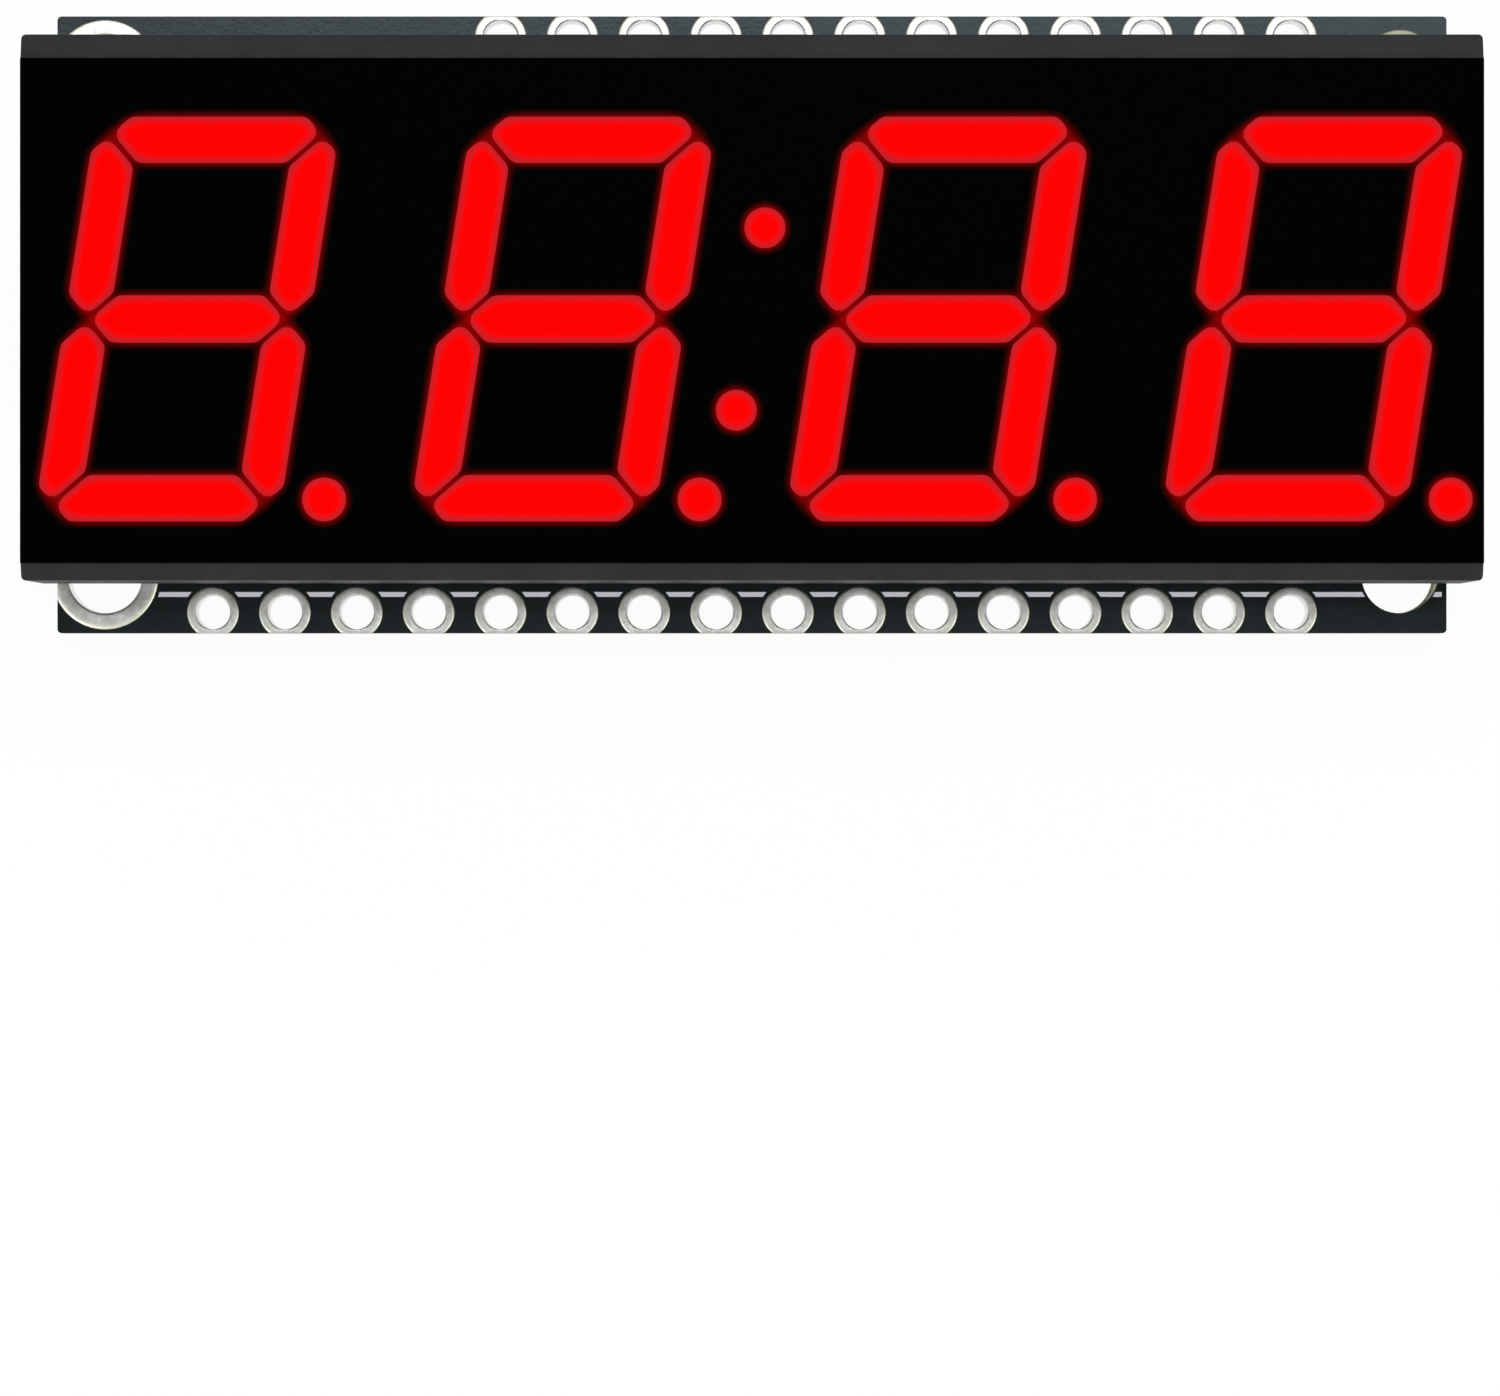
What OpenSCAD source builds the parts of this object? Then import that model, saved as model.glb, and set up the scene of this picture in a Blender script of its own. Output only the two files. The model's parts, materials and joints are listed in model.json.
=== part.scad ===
// Seven segment display module: a four digit clock display soldered to its driver board.
// It lies on its back, on the driver chip's flat top.
// The origin is under the middle of the board, level with that top face.
// +X runs along the digits, +Y up the digits and +Z out of the display's face.

/* [Circuit board] */
// Length of board past the last header hole at each end of the lower row
board_end = 5.5; // [5.2:0.1:10]
// Width of board that shows beside each long side of the display
board_side = 1.5; // [1.4:0.05:3]
// Thickness of the board
board_t = 1.6; // [0.8:0.1:2.4]
// Radius of the board's corners
board_corner_r = 0.15; // [0.1:0.05:1]

/* [Header holes] */
// Distance from one header hole to the next
header_pitch = 2.54; // [2:0.01:2.6]
// Number of holes in the lower row
long_row_count = 16; // [8:1:16]
// Number of holes in the upper row, which ends level with the lower row's right end
short_row_count = 12; // [4:1:14]
// Radius of a header hole, inside its plating
header_hole_r = 0.6; // [0.4:0.01:0.65]
// Radius of the ring around a header hole
header_ring_r = 0.92; // [0.75:0.01:1]
// Width of board left between a header hole's plating and the board's long edge
header_web = 0.09; // [0.05:0.01:0.3]

/* [Mounting holes] */
// Radius of a mounting hole
mount_hole_r = 1.3; // [1:0.05:1.4]
// Width of board left between a mounting hole's plating and the board's end
mount_end_web = 0.34; // [0.2:0.01:1]
// Width of board left between a mounting hole's plating and the board's long edge
mount_side_web = 0.66; // [0.3:0.01:1]
// Radius of the ring around each plated mounting hole, the two at the left
mount_ring_r = 1.88; // [1.6:0.01:2.1]

/* [Display housing] */
// Length of housing past the outer digits, before they are slanted
housing_end = 1.59; // [1.5:0.01:4]
// Width of housing above and below the digits
housing_side = 2.45; // [2.3:0.01:4]
// Height of the display, from the board to its face
housing_h = 8; // [6:0.1:12]
// Radius of the housing's upright edges
housing_corner_r = 0.15; // [0.1:0.05:0.5]
// Thickness of the housing's long walls
housing_wall = 1; // [0.6:0.05:1.2]
// Thickness of the housing's end walls
housing_end_wall = 0.4; // [0.3:0.01:0.45]
// How far the display sits above the middle of the board, seen from the front
display_dy = 0.25; // [-0.4:0.05:0.4]
// Width of the sloping rim above the film
rim_top_w = 0.85; // [0.4:0.05:0.95]
// Width of the sloping rim below the film
rim_bottom_w = 0.6; // [0.4:0.05:0.8]
// How far each rim drops to the outer edge
rim_drop = 0.3; // [0.1:0.05:0.5]
// Height of the feet that hold the housing off the board
foot_h = 0.3; // [0.1:0.05:0.6]
// Length of a foot along the wall
foot_l = 2; // [1:0.1:3]
// Depth of a foot's outer side behind the housing's side
foot_inset = 0.7; // [0.5:0.05:0.85]
// Distance of a foot from the ring around the nearest mounting hole
foot_gap = 1.98; // [0.5:0.01:4]

/* [Digits] */
// Gap between neighbouring digits, before they are slanted
digit_gap = 4.48; // [3.6:0.01:5.2]
// Height of a digit
digit_h = 13.9; // [13:0.1:14.2]
// Width of a digit before it is slanted
digit_w = 8.42; // [8:0.02:8.8]
// Slant of the digits, in degrees
slant_angle = 8.9; // [0:0.1:10]
// Place of the row of digits to the right of the housing's middle
digits_dx = -0.05; // [-0.3:0.05:0]
// Place of the row of digits above the housing's middle
digits_dy = -0.42; // [-0.6:0.02:0.4]
// Height of the top and bottom segments
bar_h = 1.59; // [1.2:0.01:1.9]
// Width of the side segments
post_w = 1.53; // [1.2:0.01:1.8]
// Height of the middle segment
middle_h = 1.62; // [1.2:0.02:2]
// Distance of the middle segment's tips from the digit's sides
middle_inset = 0.88; // [0.8:0.01:1.1]
// Gap between neighbouring segments
segment_gap = 0.18; // [0.15:0.01:0.4]
// Length cut from each side of a digit's outer corners
corner_cut = 1.2; // [0.8:0.02:1.4]
// Height above the middle at which a side segment's outer edge ends
waist_h = 0.86; // [0.8:0.02:1.4]
// Radius of the segments' corners
segment_corner_r = 0.38; // [0.05:0.01:0.4]
// Radius of a decimal point
point_r = 0.75; // [0.5:0.05:0.8]
// Distance of a decimal point's middle from its digit's side, before it is slanted
point_side = 1.46; // [1.2:0.01:1.5]
// Radius of a colon dot
colon_r = 0.7; // [0.4:0.05:1]
// Distance between the two colon dots
colon_spacing = 6.27; // [4:0.01:8]

/* [Light cavities and resin] */
// Thickness of the face film
film_t = 0.15; // [0.1:0.05:0.3]
// Size of a cavity's back as a share of its window
cavity_taper = 0.8; // [0.6:0.05:0.95]
// Thickness of the LED carrier board
carrier_t = 1; // [0.6:0.1:1.4]
// Gap between the carrier board and the housing's walls
carrier_gap = 0.06; // [0.04:0.01:0.08]
// Width of an LED die
die_w = 0.3; // [0.2:0.01:0.4]
// Height of an LED die
die_h = 0.2; // [0.1:0.01:0.4]
// Radius of the housing's stakes, which hold the carrier board
stake_r = 0.6; // [0.4:0.05:0.8]
// Radius of a stake's melted head
stake_head_r = 1; // [0.9:0.05:1.3]
// Height of a stake's melted head
stake_head_h = 0.5; // [0.3:0.05:0.7]
// Distance of the stakes from the middle of the row of digits, across the housing
stake_dy = 4; // [3:0.1:5]
// Thickness of the potting resin behind the carrier board
potting_t = 1.4; // [0.8:0.05:2.5]
// Depth of the potting resin's surface inside the housing's back edge
potting_recess = 0.3; // [0.1:0.05:0.5]

/* [Display leads] */
// Number of leads in each row
leads_per_row = 7; // [3:1:8]
// Distance from one lead to the next
lead_pitch = 5.08; // [2.54:0.01:5.2]
// Distance of a row of leads from the housing's side
lead_inset = 1.78; // [1.6:0.01:2]
// Radius of a lead
lead_r = 0.25; // [0.2:0.01:0.3]
// Radius of a lead's hole in the board, inside its plating
lead_hole_r = 0.4; // [0.35:0.01:0.5]
// Radius of the ring around a lead's hole
lead_ring_r = 0.75; // [0.6:0.01:0.8]
// Length of lead behind the board
lead_tail = 1.6; // [1:0.05:2.2]
// Height of the solder cone around a lead
solder_h = 0.8; // [0.4:0.05:0.9]

/* [Driver chip] */
// Length of the chip's body past the middle of its end leads
chip_end = 0.7; // [0.5:0.01:1.2]
// Width of the chip's body
chip_w = 7.5; // [6.5:0.1:8]
// Height of the chip's body
chip_h = 2.3; // [2.25:0.05:2.8]
// Gap between the chip's body and the board
chip_standoff = 0.15; // [0.1:0.01:0.3]
// How far the body's sides lean in, towards its top and its underside
chip_draft = 0.15; // [0.05:0.01:0.3]
// Number of leads on each side of the chip
chip_lead_count = 14; // [8:1:14]
// Distance from one chip lead to the next
chip_lead_pitch = 1.27; // [1:0.01:1.27]
// Length of a chip lead beside the body, to its tip
chip_lead_reach = 1.4; // [1.2:0.05:1.6]
// Width of a chip lead
chip_lead_w = 0.4; // [0.3:0.01:0.5]
// Thickness of a chip lead
chip_lead_t = 0.25; // [0.15:0.01:0.3]
// Length of a chip lead's foot
chip_foot_l = 0.75; // [0.5:0.05:0.85]
// Radius of the mark at the chip's first lead
chip_mark_r = 0.5; // [0.3:0.05:0.8]
// Depth of that mark
chip_mark_depth = 0.1; // [0.05:0.01:0.2]

/* [Small parts] */
// Length, width and height of a resistor
resistor_size = [2, 1.25, 0.5]; // [0.3:0.05:3.5]
// Length, width and height of the small capacitor
small_capacitor_size = [2, 1.25, 0.85]; // [0.3:0.05:3.5]
// Length, width and height of the large capacitor
large_capacitor_size = [3.2, 1.6, 1.2]; // [0.3:0.05:3.5]
// Length, width and height of the diode's body
diode_size = [2.7, 1.6, 1.1]; // [0.3:0.05:3.5]
// Length of a diode lead beside the body, to its tip
diode_lead_reach = 0.5; // [0.4:0.02:0.8]
// Width of a diode lead
diode_lead_w = 0.6; // [0.4:0.05:0.8]
// Thickness of a diode lead
diode_lead_t = 0.14; // [0.1:0.01:0.2]
// Length of a diode lead's foot
diode_foot_l = 0.25; // [0.15:0.01:0.3]
// Length of an end cap on a resistor or capacitor
cap_l = 0.4; // [0.25:0.05:0.6]
// Thickness of an end cap
cap_t = 0.04; // [0.02:0.01:0.08]
// Distance between neighbouring small parts in a column
part_pitch = 3.2; // [2.8:0.1:4]
// Gap between the chip's left end and the print around the address resistors
address_gap = 1.2; // [0.4:0.05:2]
// Gap between the chip's right end and the print around the large capacitor
capacitor_gap = 0.7; // [0.4:0.05:2]
// Gap between the prints around neighbouring columns of small parts
column_gap = 0.2; // [0.05:0.01:0.4]

/* [Plating and print] */
// Thickness of the plating in a hole
plating_t = 0.05; // [0.03:0.01:0.08]
// Thickness of the rings and pads on the board's faces
pad_t = 0.05; // [0.03:0.01:0.08]
// How far a pad reaches past the end or foot that sits on it
pad_margin = 0.25; // [0.1:0.01:0.3]
// Width of one address jumper's pad
jumper_pad_w = 1; // [0.6:0.05:1.2]
// Height of an address jumper's pads
jumper_pad_h = 1.5; // [1:0.05:2]
// Gap between an address jumper's two pads
jumper_gap = 0.35; // [0.2:0.01:0.5]
// Thickness of the print
print_t = 0.03; // [0.02:0.01:0.05]
// Width of a printed line
print_line_w = 0.17; // [0.1:0.01:0.25]
// Distance of the front's printed lines outside the housing's width
print_margin = 0.13; // [0.1:0.01:0.2]
// Bare gap kept between print and any ring, pad or hole
print_clear = 0.12; // [0.05:0.01:0.2]
// Bare gap kept between print and an unplated mounting hole
bare_hole_clear = 0.1; // [0.05:0.05:0.5]

/* [Hidden] */
$fn = 48;
over = 1;
arc_steps = 3;
half_turn = 180;
digit_count = 4;
segment_names = ["a", "b", "c", "d", "e", "f", "g"];

// Colours
lit_red = [1, 0.03, 0.03];
film_black = [0.02, 0.02, 0.02];
housing_grey = [0.2, 0.2, 0.21];
laminate = [0.85, 0.83, 0.72];
die_gold = [0.75, 0.6, 0.3];
resin = [0.75, 0.72, 0.66];
mask_black = [0.05, 0.06, 0.06];
tin = [0.78, 0.78, 0.74];
bright_tin = [0.76, 0.77, 0.78];
moulded_black = [0.09, 0.09, 0.1];
ceramic_brown = [0.6, 0.46, 0.33];
print_white = [0.92, 0.92, 0.9];

// Overall sizes, from the digits out to the housing and from the housing and holes out to the board
digit_pitch = digit_w + digit_gap;
housing_l = (digit_count - 1) * digit_pitch + digit_w + 2 * housing_end;
housing_w = digit_h + 2 * housing_side;
board_l = (long_row_count - 1) * header_pitch + 2 * board_end;
board_w = housing_w + 2 * board_side;
header_y = board_w / 2 - header_hole_r - plating_t - header_web;
mount_x = board_l / 2 - mount_hole_r - plating_t - mount_end_web;
mount_y = board_w / 2 - mount_hole_r - plating_t - mount_side_web;
lead_y = housing_w / 2 - lead_inset;
foot_x = mount_x - mount_ring_r - foot_gap - foot_l / 2;
foot_t = housing_wall - foot_inset;
chip_l = (chip_lead_count - 1) * chip_lead_pitch + 2 * chip_end;
chip_lead_tip = chip_w / 2 + chip_lead_reach;
diode_lead_tip = diode_size[0] / 2 + diode_lead_reach;

// Levels, from the chip's top face up to the display's face
board_back_z = chip_h + chip_standoff;
board_front_z = board_back_z + board_t;
housing_back_z = board_front_z + foot_h;
face_z = board_front_z + housing_h;
film_back_z = face_z - film_t;
potting_back_z = housing_back_z + potting_recess;
carrier_back_z = potting_back_z + potting_t;
carrier_front_z = carrier_back_z + carrier_t;
cavity_depth = film_back_z - carrier_front_z;
lead_tip_z = board_back_z - lead_tail;
back_pad_z = board_back_z - pad_t;

// Places of the holes in the board
function row_place(i, count, pitch) = (i - (count - 1) / 2) * pitch;
long_row = [for (i = [0 : long_row_count - 1])
    [row_place(i, long_row_count, header_pitch), -header_y]];
short_row = [for (i = [0 : short_row_count - 1])
    [long_row[long_row_count - 1][0] - i * header_pitch, header_y]];
plated_mounts = [for (side = [-1, 1]) [-mount_x, side * mount_y]];
bare_mounts = [for (side = [-1, 1]) [mount_x, side * mount_y]];
lead_spots = [for (side = [-1, 1], i = [0 : leads_per_row - 1])
    [row_place(i, leads_per_row, lead_pitch), display_dy + side * lead_y]];

// Places of the digits, of the points and of the stakes between the digits
half_w = digit_w / 2;
half_h = digit_h / 2;
slant = tan(slant_angle);
function slanted(p) = [p[0] + slant * p[1], p[1]];
row_centre = [digits_dx, display_dy + digits_dy];
function digit_centre(digit) = row_centre + [row_place(digit - 1, digit_count, digit_pitch), 0];
function point_spot(digit) = digit_centre(digit) + slanted([half_w + point_side, point_r - half_h]);
function colon_spot(side) = row_centre + slanted([0, side * colon_spacing / 2]);
stake_spots = [for (side = [-1, 1], up = [-1, 1])
    row_centre + slanted([side * digit_pitch, up * stake_dy])];

// Corners of the segments in the upper half of a digit, before they are slanted.
// Every end is cut at 45 degrees, and neighbours stay segment_gap apart.
post_in = half_w - post_w;
bar_in = half_h - bar_h;
corner_sum = half_w + half_h - corner_cut;
mitre = bar_in - post_in;
mitre_gap = segment_gap / sqrt(2);
middle_tip = half_w - middle_inset;
waist_sum = middle_tip + segment_gap * sqrt(2);
waist_drop = waist_h - half_w;
top_bar = [
    [corner_sum - half_h, half_h],
    [corner_sum - mitre - mitre_gap, corner_sum + mitre + mitre_gap] / 2,
    [bar_in - mitre - mitre_gap, bar_in],
    [mitre + mitre_gap - bar_in, bar_in],
    [mitre + mitre_gap - corner_sum, corner_sum + mitre + mitre_gap] / 2,
    [half_h - corner_sum, half_h]];
upper_post = [
    [half_w, waist_h],
    [waist_sum - waist_drop, waist_sum + waist_drop] / 2,
    [post_in, waist_sum - post_in],
    [post_in, post_in + mitre - mitre_gap],
    [corner_sum - mitre + mitre_gap, corner_sum + mitre - mitre_gap] / 2,
    [half_w, corner_sum - half_w]];
middle_bar = [
    [middle_tip, 0],
    [middle_tip - middle_h / 2, -middle_h / 2],
    [middle_h / 2 - middle_tip, -middle_h / 2],
    [-middle_tip, 0],
    [middle_h / 2 - middle_tip, middle_h / 2],
    [middle_tip - middle_h / 2, middle_h / 2]];

// A segment is one of those three outlines, flipped left to right or top to bottom.
// It is drawn about its own middle, so that its cavity can taper towards that point.
function flipped(points, x, y) = [for (p = points) [x * p[0], y * p[1]]];
function segment_corners(name) =
    name == "a" ? top_bar :
    name == "b" ? upper_post :
    name == "c" ? flipped(upper_post, 1, -1) :
    name == "d" ? flipped(top_bar, 1, -1) :
    name == "e" ? flipped(upper_post, -1, -1) :
    name == "f" ? flipped(upper_post, -1, 1) :
    middle_bar;
function segment_middle(name) =
    let (corners = segment_corners(name), xs = [for (p = corners) p[0]], ys = [for (p = corners) p[1]])
    [min(xs) + max(xs), min(ys) + max(ys)] / 2;
function segment_outline(name) =
    rounded([for (p = segment_corners(name)) slanted(p - segment_middle(name))], segment_corner_r);
function segment_spot(digit, name) = digit_centre(digit) + slanted(segment_middle(name));
dot_spots = concat([for (digit = [1 : digit_count]) point_spot(digit)], [colon_spot(1), colon_spot(-1)]);
light_spots = concat(
    [for (digit = [1 : digit_count], name = segment_names) segment_spot(digit, name)], dot_spots);

// An outline with each corner replaced by a small arc
function unit(v) = v / norm(v);
function heading(v) = atan2(v[1], v[0]);
function rounded(points, r) = let (n = len(points))
    [for (i = [0 : n - 1]) each corner_arc(points[(i + n - 1) % n], points[i], points[(i + 1) % n], r)];
function corner_arc(before, corner, after, r) =
    let (
        u = unit(before - corner),
        v = unit(after - corner),
        half_angle = acos(u * v) / 2,
        centre = corner + unit(u + v) * r / sin(half_angle),
        start = heading(corner + u * r / tan(half_angle) - centre),
        end = heading(corner + v * r / tan(half_angle) - centre),
        turn = (end - start + 3 * half_turn) % (2 * half_turn) - half_turn)
    [for (i = [0 : arc_steps])
        centre + r * [cos(start + turn * i / arc_steps), sin(start + turn * i / arc_steps)]];

// Half widths of the prints around the small parts, and the places of the parts on the board's back
print_reach = print_clear + print_line_w;
resistor_reach = resistor_size[0] / 2 + pad_margin + print_reach;
capacitor_reach = large_capacitor_size[0] / 2 + pad_margin + print_reach;
jumper_reach = jumper_pad_w + jumper_gap / 2 + print_reach;
diode_reach = diode_size[1] / 2 + print_reach;
address_x = -chip_l / 2 - address_gap - resistor_reach;
jumper_x = address_x - resistor_reach - column_gap - jumper_reach;
diode_x = jumper_x - jumper_reach - column_gap - diode_reach;
capacitor_x = chip_l / 2 + capacitor_gap + capacitor_reach;
bus_x = capacitor_x + capacitor_reach + column_gap + resistor_reach;
address_spots = [for (i = [-1 : 1]) [address_x, i * part_pitch]];
jumper_spots = [for (i = [-1 : 1]) [jumper_x, i * part_pitch]];
bus_spots = [for (side = [-1, 1]) [bus_x, side * part_pitch / 2]];
resistor_spots = concat(address_spots, bus_spots);
small_capacitor_spot = [capacitor_x, part_pitch];
large_capacitor_spot = [capacitor_x, -part_pitch / 2];
diode_spot = [diode_x, 0];

// Shared shapes

module at(spot, z) {
    translate([spot[0], spot[1], z]) children();
}

module rounded_rect(l, w, r) {
    square([l - 2 * r, w], center = true);
    square([l, w - 2 * r], center = true);
    for (x = [-1, 1], y = [-1, 1])
        translate([x * (l / 2 - r), y * (w / 2 - r)]) circle(r = r);
}

module board_slab(z, thickness) {
    translate([0, 0, z]) linear_extrude(thickness) rounded_rect(board_l, board_w, board_corner_r);
}

module holes(spots, r, low_z, high_z) {
    for (spot = spots) at(spot, low_z - over) cylinder(r = r, h = high_z - low_z + 2 * over);
}

module discs(spots, r, z, thickness) {
    for (spot = spots) at(spot, z) cylinder(r = r, h = thickness);
}

// A plated hole is a thin barrel with a ring on each face, cut off where it passes the board's edge
module plated_holes(spots, hole_r, ring_r) {
    difference() {
        intersection() {
            union() {
                discs(spots, ring_r, back_pad_z, pad_t);
                discs(spots, hole_r + plating_t, board_back_z, board_t);
                discs(spots, ring_r, board_front_z, pad_t);
            }
            board_slab(back_pad_z, board_t + 2 * pad_t);
        }
        holes(spots, hole_r, back_pad_z, board_front_z + pad_t);
    }
}

// Lights: a straight neck through the film, then a body that tapers back to the carrier board

module segment_light(digit, name) {
    at(segment_spot(digit, name), film_back_z) linear_extrude(film_t) polygon(segment_outline(name));
    at(segment_spot(digit, name), carrier_front_z)
        linear_extrude(height = cavity_depth, scale = 1 / cavity_taper)
            scale(cavity_taper) polygon(segment_outline(name));
}

module dot_light(spot, r) {
    at(spot, film_back_z) cylinder(r = r, h = film_t);
    at(spot, carrier_front_z) cylinder(r1 = r * cavity_taper, r2 = r, h = cavity_depth);
}

module die(spot) {
    at(spot, carrier_front_z + die_h / 2) cube([die_w, die_w, die_h], center = true);
}

module segment(digit, name) {
    color(lit_red) difference() {
        segment_light(digit, name);
        die(segment_spot(digit, name));
    }
}

module dot(spot, r) {
    color(lit_red) difference() {
        dot_light(spot, r);
        die(spot);
    }
}

module all_lights() {
    for (digit = [1 : digit_count]) {
        for (name = segment_names) segment_light(digit, name);
        dot_light(point_spot(digit), point_r);
    }
    for (side = [-1, 1]) dot_light(colon_spot(side), colon_r);
}

// Display

module face_film() {
    film_w = housing_w - rim_top_w - rim_bottom_w;
    film_dy = display_dy + (rim_bottom_w - rim_top_w) / 2;
    color(film_black) translate([0, 0, film_back_z]) linear_extrude(film_t) difference() {
        translate([0, film_dy]) square([housing_l, film_w], center = true);
        for (digit = [1 : digit_count]) {
            for (name = segment_names)
                translate(segment_spot(digit, name)) polygon(segment_outline(name));
            translate(point_spot(digit)) circle(r = point_r);
        }
        for (side = [-1, 1]) translate(colon_spot(side)) circle(r = colon_r);
    }
}

module pocket_slab(z, thickness, gap) {
    at([0, display_dy], z) linear_extrude(thickness)
        rounded_rect(housing_l - 2 * (housing_end_wall + gap), housing_w - 2 * (housing_wall + gap),
            housing_corner_r);
}

module stakes(z, thickness, r) {
    discs(stake_spots, r, z, thickness);
}

// The strip of air above a rim, which starts at the film's edge and falls rim_drop by the outer edge
module rim_cut(side, rim_w) {
    slope = rim_drop / rim_w;
    edge = housing_w / 2;
    translate([-housing_l / 2 - over, display_dy, film_back_z]) rotate([90, 0, 90])
        linear_extrude(housing_l + 2 * over)
            polygon([for (p = [[edge - rim_w, 0], [edge + over, -rim_drop - slope * over],
                               [edge + over, over], [edge - rim_w, over]]) [side * p[0], p[1]]]);
}

module display_housing() {
    color(housing_grey) difference() {
        union() {
            difference() {
                at([0, display_dy], housing_back_z) linear_extrude(film_back_z - housing_back_z)
                    rounded_rect(housing_l, housing_w, housing_corner_r);
                pocket_slab(housing_back_z - over, carrier_front_z - housing_back_z + over, 0);
            }
            stakes(carrier_back_z, carrier_t, stake_r);
            stakes(carrier_back_z - stake_head_h, stake_head_h, stake_head_r);
            for (x = [-1, 1], y = [-1, 1])
                translate([x * foot_x, display_dy + y * (housing_w / 2 - foot_inset - foot_t / 2),
                           board_front_z + foot_h / 2])
                    cube([foot_l, foot_t, foot_h], center = true);
        }
        all_lights();
        rim_cut(1, rim_top_w);
        rim_cut(-1, rim_bottom_w);
    }
}

module led_carrier_board() {
    color(laminate) difference() {
        pocket_slab(carrier_back_z, carrier_t, carrier_gap);
        holes(stake_spots, stake_r, carrier_back_z, carrier_front_z);
        holes(lead_spots, lead_r, carrier_back_z, carrier_front_z);
    }
}

module led_dies() {
    color(die_gold) for (spot = light_spots) die(spot);
}

module potting_epoxy() {
    color(resin) difference() {
        pocket_slab(potting_back_z, carrier_back_z - potting_back_z, 0);
        stakes(carrier_back_z - stake_head_h, stake_head_h, stake_head_r);
        holes(lead_spots, lead_r, potting_back_z, carrier_back_z);
    }
}

module display_leads() {
    color(bright_tin) discs(lead_spots, lead_r, lead_tip_z, carrier_front_z - lead_tip_z);
}

// Circuit board

module circuit_board() {
    color(mask_black) difference() {
        board_slab(board_back_z, board_t);
        holes(concat(long_row, short_row), header_hole_r + plating_t, board_back_z, board_front_z);
        holes(plated_mounts, mount_hole_r + plating_t, board_back_z, board_front_z);
        holes(bare_mounts, mount_hole_r, board_back_z, board_front_z);
        holes(lead_spots, lead_hole_r + plating_t, board_back_z, board_front_z);
    }
}

module long_row_pads() {
    color(tin) plated_holes(long_row, header_hole_r, header_ring_r);
}

module short_row_pads() {
    color(tin) plated_holes(short_row, header_hole_r, header_ring_r);
}

module mounting_hole_rings() {
    color(tin) plated_holes(plated_mounts, mount_hole_r, mount_ring_r);
}

module display_lead_pads() {
    color(tin) plated_holes(lead_spots, lead_hole_r, lead_ring_r);
}

// Solder fills each lead's hole and stands behind the board as a cone around the lead
module display_lead_solder() {
    color(bright_tin) difference() {
        union() {
            discs(lead_spots, lead_hole_r, back_pad_z, board_t + 2 * pad_t);
            for (spot = lead_spots) at(spot, back_pad_z - solder_h)
                cylinder(r1 = lead_r + plating_t, r2 = lead_ring_r - plating_t, h = solder_h);
        }
        holes(lead_spots, lead_r, back_pad_z - solder_h, board_front_z + pad_t);
    }
}

module front_outline_print() {
    color(print_white) translate([0, 0, board_front_z]) linear_extrude(print_t) difference() {
        for (side = [-1, 1]) translate([0, side * (housing_w / 2 + print_margin)])
            square([board_l - 2 * print_line_w, print_line_w], center = true);
        for (spot = concat(long_row, short_row)) translate(spot) circle(r = header_ring_r + print_clear);
        for (spot = plated_mounts) translate(spot) circle(r = mount_ring_r + print_clear);
        for (spot = bare_mounts) translate(spot) circle(r = mount_hole_r + bare_hole_clear);
    }
}

// Parts on the board's back

// The side of a bent lead: out of the body at mid_z, then down to a flat foot on its pad
function bent_lead(inner, tip, foot_l, mid_z, thickness) = let (knee = tip - foot_l)
    [[inner, mid_z - thickness / 2], [knee - thickness / 2, mid_z - thickness / 2],
     [knee + thickness / 2, back_pad_z - thickness], [tip, back_pad_z - thickness],
     [tip, back_pad_z], [knee, back_pad_z],
     [knee - thickness, mid_z + thickness / 2], [inner, mid_z + thickness / 2]];

// Bent leads on both sides of a body, across Y, at the given places along X
module bent_leads(places, width, outline) {
    for (x = places, side = [-1, 1])
        translate([x - width / 2, 0, 0]) rotate([90, 0, 90]) linear_extrude(width)
            polygon([for (p = outline) [side * p[0], p[1]]]);
}

// A moulded body: its sides stand upright at the lead line and lean in above and below it
module moulded_body(l, w, low_z, high_z, draft, band) {
    middle_z = (low_z + high_z) / 2;
    intersection() {
        translate([-l / 2 - over, 0, 0]) rotate([90, 0, 90]) linear_extrude(l + 2 * over)
            moulded_side(w, low_z, high_z, middle_z, draft, band);
        translate([0, w / 2 + over, 0]) rotate([90, 0, 0]) linear_extrude(w + 2 * over)
            moulded_side(l, low_z, high_z, middle_z, draft, band);
    }
}

module moulded_side(w, low_z, high_z, middle_z, draft, band) {
    polygon([[-w / 2 + draft, low_z], [w / 2 - draft, low_z], [w / 2, middle_z - band / 2],
             [w / 2, middle_z + band / 2], [w / 2 - draft, high_z], [-w / 2 + draft, high_z],
             [-w / 2, middle_z + band / 2], [-w / 2, middle_z - band / 2]]);
}

chip_lead_places = [for (i = [0 : chip_lead_count - 1]) row_place(i, chip_lead_count, chip_lead_pitch)];
chip_mark_spot = [chip_l, -chip_w] / 2 + [-1, 1] * (chip_draft + 2 * chip_mark_r);

module driver_chip_body() {
    color(moulded_black) difference() {
        moulded_body(chip_l, chip_w, 0, chip_h, chip_draft, chip_lead_t);
        at(chip_mark_spot, -over) cylinder(r = chip_mark_r, h = over + chip_mark_depth);
    }
}

module driver_chip_leads() {
    color(bright_tin)
        bent_leads(chip_lead_places, chip_lead_w,
            bent_lead(chip_w / 2, chip_lead_tip, chip_foot_l, chip_h / 2, chip_lead_t));
}

module pad(middle, size) {
    at(middle, back_pad_z + pad_t / 2) cube([size[0], size[1], pad_t], center = true);
}

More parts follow.
